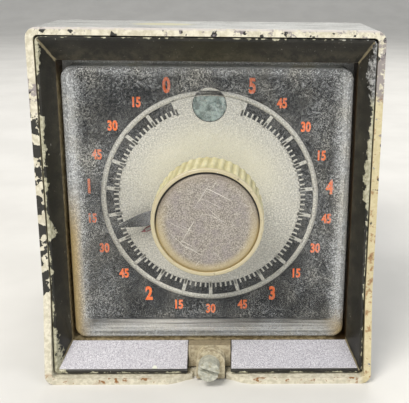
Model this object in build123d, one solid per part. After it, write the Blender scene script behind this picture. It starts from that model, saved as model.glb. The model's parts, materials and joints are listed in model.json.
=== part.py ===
from build123d import *
from math import asin, atan2, cos, degrees, hypot, pi, radians, sin, sqrt, tan
import os

# Panel-mounted plug-in reset timer. +Z is up and the dial faces -Y.
# The origin is the centre of the gasket face that meets the panel, so the sleeve stands in front of
# it (negative Y) and the rear tube goes through the panel (positive Y). Millimetres.

# ---- driving dimensions ----
face_width = 95.25
face_height = 101.6
sleeve_depth = 34.0
sleeve_wall = 2.0
chin_reach = 5.3
bezel_chin_reach = 3.1
chin_start = -24.0
tube_width = 82.0
tube_height = 86.0
tube_wall = 1.5
tube_depth = 78.0
flange_thickness = 1.8
gasket_thickness = 1.5
knob_radius = 15.5
knob_length = 13.5
knob_flutes = 42
dial_ring_radius = 32.4
gear_module = 0.5
main_teeth = 90
clutch_teeth = 32
pinion_teeth = 16
pressure_angle = 20.0

# ---- scale of the dial, in degrees counter-clockwise from the top as seen from the front ----
scale_zero = 20.0
scale_end = 340.0
setting_rest = 106.0
progress_rest = 116.0

# ---- stations along Y, front to back ----
rim_y = -sleeve_depth
opening_y = rim_y + 5.0
lens_front_y = opening_y
lens_flange_y = -20.6
dial_y = -18.9
front_plate_y = -18.1
front_plate_back = -16.6
gear_plate_y = 1.4
gear_plate_back = 2.9
plug_plate_y = 56.0
plug_plate_back = 59.0
block_y = 64.0
block_back = 80.0
knob_front_y = rim_y - 9.1
collar_front_y = rim_y - 3.0

# ---- bezel opening and lens, as X and Z half sizes and heights ----
opening_half = 41.15
opening_low = -41.45
opening_high = 41.75
lens_half_x = 40.2
lens_half_z = 40.4
lens_drop = 0.3
lens_wall = 1.2

# ---- axes that run along Y, as (x, z) ----
lamp_axis = (0.0, 28.2)
screw_axis = (0.0, -45.4)
main_pitch_radius = main_teeth * gear_module / 2
clutch_distance = (main_teeth + clutch_teeth) * gear_module / 2
clutch_axis = (clutch_distance * cos(radians(45)), clutch_distance * sin(radians(45)))
pinion_distance = (clutch_teeth + pinion_teeth) * gear_module / 2
pinion_axis = (clutch_axis[0] - pinion_distance, clutch_axis[1])
motor_axis = (0.0, 12.0)
trip_axis = (-13.0, -31.0)
lever_axis = (36.0, -12.0)
plunger_axis = (24.0, -8.0)
post_axes = [(x, z) for x in (-36.0, 36.0) for z in (-37.0, 37.0)]

shaft_radius = 3.0
running_gap = 0.05


def box(x0, x1, y0, y1, z0, z1):
    """Block between two corners."""
    return Pos((x0 + x1) / 2, (y0 + y1) / 2, (z0 + z1) / 2) * Box(x1 - x0, y1 - y0, z1 - z0)


def rod(radius, y0, y1, axis=(0.0, 0.0)):
    """Cylinder along Y between two stations."""
    return Pos(axis[0], (y0 + y1) / 2, axis[1]) * Rot(90, 0, 0) * Cylinder(radius, y1 - y0)


def ring(outer, inner, y0, y1, axis=(0.0, 0.0)):
    """Washer or tube along Y."""
    return rod(outer, y0, y1, axis) - rod(inner, y0 - 1, y1 + 1, axis)


def prism(outline, y0, y1):
    """Solid with an X-Z outline between two stations along Y."""
    back = Plane(origin=(0, y1, 0), x_dir=(1, 0, 0), z_dir=(0, -1, 0))
    return extrude(back * outline, amount=y1 - y0)


def polar(radius, angle):
    """Point (x, z) at an angle counter-clockwise from the top, seen from the front."""
    return (-radius * sin(radians(angle)), radius * cos(radians(angle)))


def turned(outline, angle):
    """Outline drawn pointing up, turned counter-clockwise as seen from the front."""
    return Rot(0, 0, angle) * outline


def group(solids):
    """Several like solids as one node."""
    return Compound(children=list(solids))


# ---- housing ----


def make_housing_shell():
    """Sleeve, flange and rear tube in one casting. The sleeve's lower front projects as a chin."""
    front_y = rim_y - chin_reach
    flange_back = -gasket_thickness
    flange_front = flange_back - flange_thickness
    sleeve_outline = RectangleRounded(face_width, face_height, 3.0)
    sleeve_bore = RectangleRounded(face_width - 2 * sleeve_wall, face_height - 2 * sleeve_wall, 1.2)
    tube_outline = RectangleRounded(tube_width, tube_height, 2.5)
    tube_bore = RectangleRounded(tube_width - 2 * tube_wall, tube_height - 2 * tube_wall, 1.0)
    shell = prism(sleeve_outline - sleeve_bore, front_y, flange_back)
    chin_full = -face_height / 2 + sleeve_wall
    side = Plane.YZ * Polyline(
        (front_y - 2, face_height),
        (rim_y, face_height),
        (rim_y, chin_start),
        (front_y, chin_full),
        (front_y - 2, chin_full),
        close=True,
    )
    shell -= extrude(make_face(side), amount=face_width, both=True)
    slot_half, slot_back = boss_radius + boss_offset + 0.4, boss_foot_back + 0.3
    right_side = [(12.0, front_y), (9.5, front_y + 0.8), (7.0, front_y + 2.4), (slot_half, front_y + 3.1)]
    right_side.append((slot_half, slot_back))
    left_side = [(-x, y) for x, y in reversed(right_side)]
    notch = Polyline((-12.6, front_y - 1), (12.6, front_y - 1), *right_side, *left_side, close=True)
    shell -= Pos(0, 0, -face_height / 2 - 1) * extrude(make_face(notch), amount=sleeve_wall + 2)
    shell += prism(sleeve_outline - tube_bore, flange_front, flange_back)
    shell += prism(tube_outline - tube_bore, flange_front, tube_depth)
    for x, z in stud_axes:
        shell -= rod(stud_shoulder, flange_front - 1, flange_back + 1, (x, z))
    for x in (-tube_width / 2, tube_width / 2):
        for z in block_screw_heights:
            shell -= Pos(x, block_screw_y, z) * Rot(0, 90, 0) * Cylinder(1.6, 6)
    return shell


stud_radius = 2.0
stud_shoulder = 2.3
stud_spacing_x = 88.4
stud_spacing_z = 94.0
stud_axes = [(x * stud_spacing_x / 2, z * stud_spacing_z / 2) for x in (-1, 1) for z in (-1, 1)]
block_screw_y = 72.0
block_screw_heights = (-34.5, 34.5)


def make_panel_gasket():
    """Flat rubber ring that the flange presses against the panel."""
    outline = RectangleRounded(face_width - 1.0, face_height - 1.0, 2.5)
    hole = RectangleRounded(tube_width + 0.4, tube_height + 0.4, 2.5)
    gasket = prism(outline - hole, -gasket_thickness, 0.0)
    for axis in stud_axes:
        gasket -= rod(stud_shoulder + 0.05, -gasket_thickness - 1, 1, axis)
    return gasket


def make_mounting_studs():
    """Studs pressed into the flange, with a shoulder that ends level with the gasket."""
    stud_length = 14.0
    front = -gasket_thickness - flange_thickness
    studs = []
    for axis in stud_axes:
        studs.append(rod(stud_shoulder, front, 0.0, axis) + rod(stud_radius, 0.0, stud_length, axis))
    return group(solid for stud in studs for solid in stud.solids())


def make_screw_anchor():
    """Tapped block on the sleeve's floor that the captive screw enters."""
    floor = -face_height / 2 + sleeve_wall
    flange_front = -gasket_thickness - flange_thickness
    block = box(-7.0, 7.0, -14.4, flange_front, floor, -42.5)
    return block - rod(screw_radius + running_gap, -20, 0, screw_axis)


screw_radius = 2.0

blade_columns = (-20.0, 20.0)
blade_heights = [-30.0 + 12.0 * row for row in range(6)]
terminal_columns = (-30.0, 30.0)


def make_terminal_block():
    """Moulded block that closes the tube, slotted in front for the clips, with barriers behind."""
    width = tube_width - 2 * tube_wall - 0.1
    height = tube_height - 2 * tube_wall - 0.1
    block = prism(RectangleRounded(width, height, 1.0), block_y, block_back)
    for x in blade_columns:
        for z in blade_heights:
            block -= box(x - 1.6, x + 1.6, block_y - 1, block_y + 10, z - 3.2, z + 3.2)
    barrier_heights = [z - 6.0 for z in blade_heights] + [blade_heights[-1] + 6.0]
    for side in (-1, 1):
        for z in barrier_heights:
            low, high = sorted((side * 23.0, side * 38.5))
            block += box(low, high, block_back, block_back + 4, z - 0.9, z + 0.9)
        low, high = sorted((side * 21.5, side * 23.0))
        block += box(low, high, block_back, block_back + 4, barrier_heights[0] - 0.9, barrier_heights[-1] + 0.9)
    for x in terminal_columns:
        for z in blade_heights:
            block -= rod(1.5, block_back - 8, block_back + 1, (x, z))
    for side in (-1, 1):
        for z in block_screw_heights:
            block -= Pos(side * width / 2, block_screw_y, z) * Rot(0, 90, 0) * Cylinder(1.25, 16)
    return block


def make_contact_clips():
    """Two spring leaves either side of each blade, with a tail in the block."""
    clips = []
    for x in blade_columns:
        for z in blade_heights:
            leaves = box(x - 1.1, x - 0.7, block_y + 0.5, block_y + 9.5, z - 2.6, z + 2.6)
            leaves += box(x + 0.7, x + 1.1, block_y + 0.5, block_y + 9.5, z - 2.6, z + 2.6)
            leaves += box(x - 1.1, x + 1.1, block_y + 9.5, block_y + 10, z - 2.6, z + 2.6)
            clips.append(leaves)
    return group(clips)


def make_terminal_plates():
    """Square saddle washers under the terminal screws."""
    plates = []
    for x in terminal_columns:
        for z in blade_heights:
            plate = box(x - 3.8, x + 3.8, block_back, block_back + 1, z - 3.8, z + 3.8)
            plates.append(plate - rod(1.6, block_back - 1, block_back + 2, (x, z)))
    return group(plates)


def slotted_screw(radius, head_radius, head_height, seat_y, tip_y, axis, slot_angle=0.0):
    """Pan head screw along Y whose head is on the +Y side of its seat."""
    screw = rod(radius, tip_y, seat_y, axis)
    head = rod(head_radius, seat_y, seat_y + head_height, axis)
    slot = Box(3 * head_radius, head_height, 0.9)
    slot = Pos(axis[0], seat_y + head_height * 1.1, axis[1]) * Rot(0, slot_angle, 0) * slot
    return screw + (head - slot)


def make_terminal_screws():
    """Binding head screws, each left at its own angle."""
    screws = []
    for row, z in enumerate(blade_heights):
        for column, x in enumerate(terminal_columns):
            angle = 35.0 * row + 70.0 * column
            screw = slotted_screw(1.45, 3.3, 2.2, block_back + 1, block_back - 7, (x, z), angle)
            screws.append(screw)
    return group(screws)


def make_block_screws():
    """Four screws through the tube's sides into the terminal block."""
    screws = []
    for side in (-1, 1):
        for z in block_screw_heights:
            head = Cylinder(2.6, 1.4) - Pos(0, 0, 0.5) * Box(8, 0.8, 0.8)
            screw = Pos(0, 0, 0.7) * head + Pos(0, 0, -3.0) * Cylinder(1.2, 6.0)
            place = Pos(side * tube_width / 2, block_screw_y, z) * Rot(0, side * 90, 0)
            screws.append(place * screw)
    return group(screws)


# ---- front of the plug-in unit ----


bezel_half = 45.2
bezel_low, bezel_high = -48.3, 48.4
bezel_rim = 0.8
bezel_low_y = rim_y - bezel_chin_reach
pad_half = 6.3


def make_front_bezel():
    """Picture frame with four slopes that lead down to the lens. Its lower rim stands forward."""
    outline = Pos(0, (bezel_low + bezel_high) / 2) * RectangleRounded(2 * bezel_half, bezel_high - bezel_low, 1.4)
    bezel = prism(outline, bezel_low_y, front_plate_y)
    chin_slope = bezel_chin_reach / (chin_start - bezel_low - bezel_rim)
    foot_y = rim_y - chin_slope * (chin_start - bezel_low + 2)
    side = Plane.YZ * Polyline(
        (bezel_low_y - 2, face_height),
        (rim_y, face_height),
        (rim_y, chin_start),
        (foot_y, bezel_low - 2),
        (bezel_low_y - 2, bezel_low - 2),
        close=True,
    )
    bezel -= extrude(make_face(side), amount=face_width, both=True)
    rim_x, rim_top, rim_bottom = bezel_half - bezel_rim, bezel_high - bezel_rim, bezel_low + bezel_rim
    rim = [
        (-rim_x, rim_y, rim_top),
        (rim_x, rim_y, rim_top),
        (rim_x, rim_y, chin_start),
        (rim_x, bezel_low_y, rim_bottom),
        (-rim_x, bezel_low_y, rim_bottom),
        (-rim_x, rim_y, chin_start),
    ]
    mouth = [
        (-opening_half, opening_y, opening_high),
        (opening_half, opening_y, opening_high),
        (opening_half, opening_y, opening_low),
        (-opening_half, opening_y, opening_low),
    ]
    sides = [
        (rim[0], rim[1], mouth[1], mouth[0]),
        (rim[1], rim[2], mouth[2], mouth[1]),
        (rim[2], rim[3], mouth[2]),
        (rim[3], rim[4], mouth[3], mouth[2]),
        (rim[4], rim[5], mouth[3]),
        (rim[5], rim[0], mouth[0], mouth[3]),
        (rim[0], rim[1], rim[2], rim[5]),
        (rim[5], rim[2], rim[3], rim[4]),
        mouth,
    ]
    bezel -= Solid(Shell([Face(Wire.make_polygon(corners, close=True)) for corners in sides]))
    bezel -= box(-opening_half, opening_half, opening_y, lens_flange_y, opening_low, opening_high)
    bezel -= box(-42.6, 42.6, lens_flange_y, front_plate_y, -42.9, 42.9)
    bezel -= box(-pad_half, pad_half, bezel_low_y - 1, -29.3, bezel_low - 1, opening_low)
    bezel -= rod(screw_radius + 0.1, rim_y, front_plate_y + 1, screw_axis)
    for axis in bezel_screw_axes:
        bezel -= rod(1.4, -24.0, front_plate_y + 1, axis)
    return bezel


bezel_screw_axes = [(x, z) for x in (-38.0, 38.0) for z in (-45.6, 45.6)]


def make_nameplate(side):
    """Thin silver plate on one half of the lower slope, cut back around the screw."""
    rim_bottom = bezel_low + bezel_rim
    slope_y = opening_y - bezel_low_y
    slope_z = opening_low - rim_bottom
    slope_length = hypot(slope_y, slope_z)
    thickness = 0.4
    top_x, bottom_x, inner_x = 40.9, 43.9, pad_half + 0.2
    top_gap, bottom_gap = 0.3, 0.5
    middle_z = (opening_low + rim_bottom) / 2
    middle_y = (opening_y + bezel_low_y) / 2
    slope = Plane(
        origin=(0, middle_y, middle_z),
        x_dir=(1, 0, 0),
        z_dir=(0, -slope_z, slope_y),
    )
    high = slope_length / 2 - top_gap
    low = -slope_length / 2 + bottom_gap
    outline = Polyline(
        (side * inner_x, low),
        (side * bottom_x, low),
        (side * top_x, high),
        (side * inner_x, high),
        close=True,
    )
    return extrude(slope * make_face(outline), amount=thickness)


def make_lens_cover():
    """Clear moulded cover: a shallow box with a flange behind and a hole for the knob's hub."""
    centre = Pos(0, -lens_drop)
    body = prism(centre * RectangleRounded(2 * lens_half_x, 2 * lens_half_z, 3.2), lens_front_y, front_plate_y)
    front_edges = body.edges().filter_by_position(Axis.Y, lens_front_y, lens_front_y)
    body = fillet(front_edges, 1.2)
    body += box(-42.4, 42.4, lens_flange_y, front_plate_y, -42.7, 42.7)
    inner_x, inner_z = lens_half_x - lens_wall, lens_half_z - lens_wall
    hollow = centre * RectangleRounded(2 * inner_x, 2 * inner_z, 2.2)
    cavity = prism(hollow, lens_front_y + 1.8, front_plate_y + 1)
    return body - cavity - rod(hub_radius + 0.5, lens_front_y - 1, lens_front_y + 3)


hub_radius = 6.0


def make_dial_plate():
    """Square black dial with holes for the bushing and the pilot lamp."""
    plate = prism(Pos(0, -0.2) * RectangleRounded(77.6, 77.8, 1.5), dial_y, front_plate_y)
    plate -= rod(6.5, dial_y - 1, front_plate_y + 1)
    return plate - rod(5.0, dial_y - 1, front_plate_y + 1, lamp_axis)


boss_radius = 4.2
boss_offset = 0.4
boss_foot = -50.2
boss_foot_back = -34.8
pad_front = -33.0


def make_screw_collar():
    """Square pad in the lower slope with an arched boss that stands out around the captive screw."""
    centre = (screw_axis[0] + boss_offset, screw_axis[1])
    pad = box(-pad_half + 0.05, pad_half - 0.05, pad_front, -29.3, bezel_low + 0.05, opening_low)
    arch = Pos(*centre) * Circle(boss_radius)
    low_side = Pos(centre[0], (bezel_low + 0.05 + centre[1]) / 2)
    arch += low_side * Rectangle(2 * boss_radius, centre[1] - bezel_low - 0.05)
    arch -= Pos(centre[0], bezel_low - 1.95) * Rectangle(4 * boss_radius, 4.0)
    boss = prism(arch, collar_front_y, pad_front)
    foot_sides = (centre[0] - boss_radius, centre[0] + boss_radius)
    foot = box(*foot_sides, collar_front_y, boss_foot_back, boss_foot, centre[1] - 1)
    collar = pad + boss + foot
    return collar - rod(screw_radius + 0.1, collar_front_y - 1, -28, screw_axis)


def make_captive_screw():
    """Slotted cheese head on a long shank that reaches the tapped anchor."""
    head_radius, head_front = 3.1, rim_y - 8.0
    head_back = collar_front_y - running_gap
    shank_tip = -5.0
    head = rod(head_radius, head_front, head_back, screw_axis)
    slot = Box(3 * head_radius, 2.4, 1.0)
    head -= Pos(screw_axis[0], head_front, screw_axis[1]) * Rot(0, 19.0, 0) * slot
    return head + rod(screw_radius, head_back, shank_tip, screw_axis)


def make_screw_ring():
    """Retaining ring that keeps the screw in the unit."""
    return ring(3.2, screw_radius, -16.4, -15.6, screw_axis)


def make_pilot_window():
    """Translucent disc in the dial's upper hole."""
    return rod(4.95, dial_y + 0.15, front_plate_y + 0.3, lamp_axis)


def make_lamp_holder():
    """Tube on the front plate's back that holds the lamp."""
    return ring(4.7, 3.9, front_plate_back, -5.0, lamp_axis)


def make_pilot_lamp():
    """Glass lamp with a domed front."""
    lamp = rod(3.2, -14.0, -5.0, lamp_axis)
    dome = Pos(lamp_axis[0], -14.0, lamp_axis[1]) * Sphere(3.2)
    base = rod(3.85, -7.5, -5.0, lamp_axis)
    return lamp + dome + base


def make_lamp_resistor():
    """Series resistor beside the lamp, with its two leads."""
    x, z, y = -12.0, 36.0, -6.0
    body = Pos(x, y, z) * Rot(0, 90, 0) * Cylinder(1.8, 9)
    leads = Pos(x, y, z) * Rot(0, 90, 0) * Cylinder(0.35, 16)
    return body + leads


def make_front_plate():
    """Steel plate behind the bezel that carries the mechanism."""
    plate = prism(RectangleRounded(89.4, 95.2, 1.4), front_plate_y, front_plate_back)
    plate -= rod(6.5, front_plate_y - 1, front_plate_back + 1)
    plate -= rod(5.3, front_plate_y - 1, front_plate_back + 1, lamp_axis)
    plate -= rod(1.55, front_plate_y - 1, front_plate_back + 1, clutch_axis)
    plate -= rod(screw_radius + 0.1, front_plate_y - 1, front_plate_back + 1, screw_axis)
    for axis in bezel_screw_axes:
        plate -= rod(1.5, front_plate_y - 1, front_plate_back + 1, axis)
    for axis in post_axes:
        plate -= rod(1.6, front_plate_y - 1, front_plate_back + 1, axis)
    return plate


def make_bezel_screws():
    """Screws from behind the front plate into the bezel."""
    return group(
        slotted_screw(1.35, 2.6, 1.8, front_plate_back, -23.5, axis, 25.0 * number)
        for number, axis in enumerate(bezel_screw_axes)
    )


def make_front_bushing():
    """Brass bearing for the progress sleeve in the front plate."""
    return ring(6.45, sleeve_outer + running_gap, dial_y, -14.2)


# ---- chassis ----

post_radius = 2.5
sleeve_outer = 4.5
sleeve_inner = shaft_radius + running_gap


def make_short_posts():
    """Posts between the front plate and the gear plate, threaded into the front plate."""
    posts = []
    for axis in post_axes:
        post = rod(post_radius, front_plate_back, gear_plate_y, axis)
        post += rod(1.5, front_plate_y, front_plate_back, axis)
        posts.append(post - rod(1.6, -5.0, gear_plate_y + 1, axis))
    return group(posts)


def make_rear_posts():
    """Long posts from the gear plate to the plug plate, with a threaded end at each side."""
    posts = []
    for axis in post_axes:
        post = rod(post_radius, gear_plate_back, plug_plate_y, axis)
        post += rod(1.5, -4.5, gear_plate_back, axis)
        post += rod(1.5, plug_plate_y, plug_plate_back + 3.2, axis)
        posts.append(post)
    return group(posts)


def make_post_nuts():
    """Hexagon nuts behind the plug plate."""
    nuts = []
    for axis in post_axes:
        outline = Pos(*axis) * RegularPolygon(3.1, 6)
        nut = prism(outline, plug_plate_back, plug_plate_back + 2.4)
        nuts.append(nut - rod(1.5, plug_plate_back - 1, plug_plate_back + 4, axis))
    return group(nuts)


def make_gear_plate():
    """Steel plate behind the gear train."""
    plate = prism(RectangleRounded(77.0, 81.0, 1.5), gear_plate_y, gear_plate_back)
    holes = [((0.0, 0.0), 5.0), (clutch_axis, 1.55), (pinion_axis, 4.0), (trip_axis, 1.55)]
    holes += [(axis, 1.6) for axis in post_axes]
    holes += [(axis, 1.5) for axis in motor_screw_axes + switch_screw_axes]
    holes += [(lever_axis, 1.2), ((-spring_anchor_x, 0.0), 0.8)]
    for axis, radius in holes:
        plate -= rod(radius, gear_plate_y - 1, gear_plate_back + 1, axis)
    return plate


motor_screw_axes = [(-28.5, 12.0), (28.5, 12.0)]
switch_screw_axes = [(-5.0, -17.0), (4.0, -34.0)]


def make_gear_bushing():
    """Flanged bearing in the gear plate for the setting shaft."""
    bushing = rod(8.5, -2.7, gear_plate_y) + rod(5.0, gear_plate_y, gear_plate_back)
    return bushing - rod(shaft_radius + running_gap, -4, gear_plate_back + 1)


def make_friction_washer():
    """Washer that the friction disc rubs on, which holds the knob where it is set."""
    return ring(9.0, shaft_radius + 0.5, -3.6, -2.7)


def make_plug_plate():
    """Insulating plate at the back of the unit that carries the blades."""
    plate = prism(RectangleRounded(77.0, 81.0, 1.5), plug_plate_y, plug_plate_back)
    for axis in post_axes:
        plate -= rod(1.5, plug_plate_y - 1, plug_plate_back + 1, axis)
    for x in blade_columns:
        for z in blade_heights:
            plate -= box(x - 0.5, x + 0.5, plug_plate_y - 1, plug_plate_back + 1, z - 2.4, z + 2.4)
    return plate


def make_plug_blades():
    """Flat blades that pass through the plug plate into the clips."""
    return group(
        box(x - 0.5, x + 0.5, plug_plate_y - 6, block_y + 8, z - 2.4, z + 2.4)
        for x in blade_columns
        for z in blade_heights
    )


def make_motor_can():
    """Synchronous motor in a closed can with a mounting strap and a bearing boss."""
    can_radius, can_back = 24.0, 27.0
    can = rod(can_radius, gear_plate_back, can_back, motor_axis)
    can += rod(21.0, can_back, can_back + 3, motor_axis)
    ears = prism(Pos(motor_axis[0], motor_axis[1]) * RectangleRounded(65.0, 11.0, 3.0), gear_plate_back, 4.1)
    can += ears
    can += rod(3.9, gear_plate_y - 2, gear_plate_back, pinion_axis)
    can -= rod(1.55, gear_plate_y - 3, 9.0, pinion_axis)
    for axis in motor_screw_axes:
        can -= rod(1.5, 0, 6, axis)
    return can


def make_motor_screws():
    """Two screws that hold the motor to the gear plate."""
    return group(slotted_screw(1.45, 2.8, 1.8, 4.1, -0.5, axis, 40.0) for axis in motor_screw_axes)


# ---- gear train ----


def gear_outline(teeth, bore):
    """Spur gear drawn with straight-flanked teeth, thinned so that a mesh turns freely."""
    pitch_radius = teeth * gear_module / 2
    tip_radius = pitch_radius + 0.85 * gear_module
    root_radius = pitch_radius - 1.2 * gear_module
    pitch_angle = 2 * pi / teeth
    half_at_pitch = 0.21 * pitch_angle
    flank = tan(radians(pressure_angle)) * gear_module / pitch_radius
    half_at_tip = half_at_pitch - 0.85 * flank
    half_at_root = half_at_pitch + 1.0 * flank
    corners = []
    for tooth in range(teeth):
        middle = tooth * pitch_angle
        for radius, angle in (
            (root_radius, middle - half_at_root),
            (tip_radius, middle - half_at_tip),
            (tip_radius, middle + half_at_tip),
            (root_radius, middle + half_at_root),
        ):
            corners.append((radius * cos(angle), radius * sin(angle)))
    return make_face(Polyline(*corners, close=True)) - Circle(bore)


def gear_on(axis, teeth, bore, y0, y1, phase=0.0):
    """Gear placed on an axis with its first tooth at a phase angle in degrees from +X."""
    outline = Pos(*axis) * Rot(0, 0, phase) * gear_outline(teeth, bore)
    return prism(outline, y0, y1)


def mesh_phase(centre, other, other_teeth, other_phase, teeth):
    """Phase that puts a gap of this gear where the other gear's tooth points at it."""
    direction = degrees(atan2(centre[1] - other[1], centre[0] - other[0]))
    other_pitch = 360.0 / other_teeth
    offset = ((direction - other_phase) / other_pitch) % 1.0
    pitch = 360.0 / teeth
    return direction + 180.0 + pitch * (offset + 0.5)


clutch_phase = mesh_phase(clutch_axis, (0.0, 0.0), main_teeth, 0.0, clutch_teeth)
pinion_phase = mesh_phase(pinion_axis, clutch_axis, clutch_teeth, clutch_phase, pinion_teeth)


def make_main_gear():
    """Large gear on the progress sleeve, with lightening holes and a hub."""
    gear = gear_on((0.0, 0.0), main_teeth, sleeve_outer, -13.5, -12.0)
    for number in range(6):
        gear -= rod(4.2, -14, -11, polar(14.0, 60.0 * number))
    return gear + ring(7.0, sleeve_outer, -12.0, -10.8)


def make_clutch_gear():
    """Wide gear between the motor pinion and the main gear, with a collar."""
    gear = gear_on(clutch_axis, clutch_teeth, 1.5, -13.8, -9.4, clutch_phase)
    return gear + ring(3.5, 1.5, -9.4, -7.0, clutch_axis)


def make_clutch_arbor():
    """Shaft of the clutch gear, held in both plates."""
    return rod(1.5, -17.6, gear_plate_back - 0.3, clutch_axis)


def make_motor_pinion():
    """Small gear on the motor's output shaft."""
    gear = gear_on(pinion_axis, pinion_teeth, 1.0, -11.7, -9.5, pinion_phase)
    return gear + rod(1.5, -9.5, 8.0, pinion_axis) + rod(1.0, -11.7, -9.5, pinion_axis)


def make_progress_sleeve():
    """Hollow shaft that carries the running pointer and the main gear."""
    return ring(sleeve_outer, sleeve_inner, -20.6, -5.5)


def make_progress_pointer():
    """Thin red needle on the front end of the sleeve."""
    hub = Circle(7.0) - Circle(sleeve_outer)
    tip, shoulder = 23.2, 21.0
    needle = Polyline((-0.9, 6.0), (0.9, 6.0), (0.7, shoulder), (0.0, tip), (-0.7, shoulder), close=True)
    outline = hub + (make_face(needle) - Circle(sleeve_outer))
    return prism(turned(outline, progress_rest), -20.6, -20.1)


trip_offset = 180.0 - scale_zero


def make_trip_arm():
    """Arm on the sleeve's back end that meets the trip lever when the time runs out."""
    hub = Circle(7.0) - Circle(sleeve_outer)
    arm = Pos(0, 13.0) * Rectangle(4.0, 15.0)
    outline = hub + (arm - Circle(sleeve_outer))
    return prism(turned(outline, progress_rest + trip_offset), -6.9, -5.5)


def make_return_spring():
    """Flat spiral that turns the progress pointer back, drawn as half rings of growing radius."""
    strip, step, first, turns = 0.4, 0.95, 7.6, 9
    coil = None
    for half_turn in range(turns):
        radius = first + step * half_turn
        centre = step if half_turn % 2 else 0.0
        side = 1 if half_turn % 2 else -1
        arc = Circle(radius + strip / 2) - Circle(radius - strip / 2)
        keep = Pos(0, side * 20) * Rectangle(80, 40)
        piece = Pos(centre, 0) * (arc & keep)
        coil = piece if coil is None else coil + piece
    last = first + step * (turns - 1)
    inner_tail = Pos((first + sleeve_outer + running_gap) / 2, 0)
    coil += inner_tail * Rectangle(first - sleeve_outer - running_gap, strip)
    outer_reach = spring_anchor_x - 0.8
    coil += Pos(-(last + outer_reach) / 2, 0) * Rectangle(outer_reach - last, strip)
    return prism(coil, -10.5, -7.6)


spring_anchor_x = 22.0


def make_spring_anchor():
    """Post riveted in the gear plate that holds the spring's outer end."""
    return rod(0.8, -10.7, gear_plate_back, (-spring_anchor_x, 0.0))


# ---- setting knob ----


def make_setting_knob():
    """Fluted knob with a shallow recess in its face and a hub that passes through the lens."""
    flute_radius = 0.75
    outline = Circle(knob_radius)
    centres = PolarLocations(knob_radius + 0.35, knob_flutes)
    outline -= centres * Circle(flute_radius)
    back_y = knob_front_y + knob_length
    knob = prism(outline, knob_front_y + 1.0, back_y)
    knob += rod(knob_radius - 0.15, knob_front_y, knob_front_y + 1.0)
    knob += rod(hub_radius, back_y, -22.5)
    knob -= rod(13.9, knob_front_y - 1, knob_front_y + 1.0)
    return knob - rod(shaft_radius, knob_front_y + 4, -22)


def make_knob_insert():
    """Bevelled disc in the knob's recess, which has dropped a little towards the bottom."""
    disc = rod(13.4, knob_front_y + 0.1, knob_front_y + 1.0, (0.0, -0.4))
    rim = disc.edges().filter_by_position(Axis.Y, knob_front_y, knob_front_y + 0.2)
    return chamfer(rim, 0.5)


def make_setting_shaft():
    """Steel shaft from the knob back to the gear plate."""
    return rod(shaft_radius, knob_front_y + 4, 2.5)


def make_setting_pointer():
    """Black wedge fixed behind the knob's hub, just in front of the dial."""
    tip, shoulder = 27.9, 21.0
    hub = Circle(8.0) - Circle(shaft_radius)
    wedge = Polyline(
        (-2.2, 7.0),
        (2.2, 7.0),
        (2.0, shoulder),
        (0.5, tip),
        (-0.5, tip),
        (-2.0, shoulder),
        close=True,
    )
    outline = hub + (make_face(wedge) - Circle(shaft_radius))
    return prism(turned(outline, setting_rest), -22.5, -21.7)


def make_friction_disc():
    """Disc on the shaft that rubs on the washer."""
    return ring(10.0, shaft_radius, -4.9, -3.65)


# ---- clutch solenoid ----

coil_low, coil_high = -37.0, -22.0
frame_low, frame_high = -40.0, -19.0
pin_height = -11.0
plunger_travel = 2.5


def upright(radius, z0, z1):
    """Cylinder along Z on the plunger's axis."""
    return Pos(plunger_axis[0], plunger_axis[1], (z0 + z1) / 2) * Cylinder(radius, z1 - z0)


def make_clutch_frame():
    """Steel frame around the coil."""
    frame = box(15.0, 33.0, -15.5, -0.5, frame_low, frame_high)
    frame -= box(16.6, 31.4, -17.0, 1.0, frame_low + 1.6, frame_high - 1.6)
    return frame - upright(3.15, frame_high - 3, frame_high + 1)


def make_clutch_coil():
    """Wound coil with a bobbin cheek at each end and a clear bore."""
    coil = upright(6.6, coil_low + 1.2, coil_high - 1.2)
    coil += upright(7.2, coil_low, coil_low + 1.2)
    coil += upright(7.2, coil_high - 1.2, coil_high)
    return coil - upright(3.15, coil_low - 1, coil_high + 1)


def make_clutch_plunger():
    """Iron plunger with a slot and a cross hole at its top."""
    plunger = upright(3.0, -33.0, -9.0)
    plunger -= box(20.0, 28.0, -8.8, -7.2, -14.2, -8.0)
    return plunger - rod(0.8, -12, -4, (plunger_axis[0], pin_height))


def make_plunger_pin():
    """Cross pin that works in the clutch lever's slot."""
    return rod(0.8, -10.8, -5.2, (plunger_axis[0], pin_height))


def make_clutch_lever():
    """Bell crank from the plunger's pin up to the clutch gear's collar."""
    x, z = lever_axis
    boss = Pos(x, z) * Circle(2.6)
    slot_half = 0.95
    finger = Pos(27.6, pin_height) * Rectangle(13.2, 4.6)
    finger -= Pos(24.0, pin_height) * SlotOverall(4.6, 2 * slot_half)
    upper = Polyline((x - 1.8, z), (x + 1.8, z), (x, 23.0), (x - 3.0, 23.0), close=True)
    outline = boss + finger + make_face(upper)
    outline -= Pos(x, z) * Circle(1.25)
    return prism(outline, -8.6, -7.4)


def make_lever_pivot():
    """Shouldered pin riveted in the gear plate for the clutch lever."""
    pivot = rod(1.2, -9.6, gear_plate_back, lever_axis) + rod(2.2, -7.2, gear_plate_y, lever_axis)
    return pivot + rod(2.2, -9.8, -8.8, lever_axis)


# ---- trip lever and switches ----

switch_rows = {"front": (5.0, 15.0), "rear": (16.0, 26.0)}
plunger_height = -37.0
switch_left, switch_right = -9.0, 7.0


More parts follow.
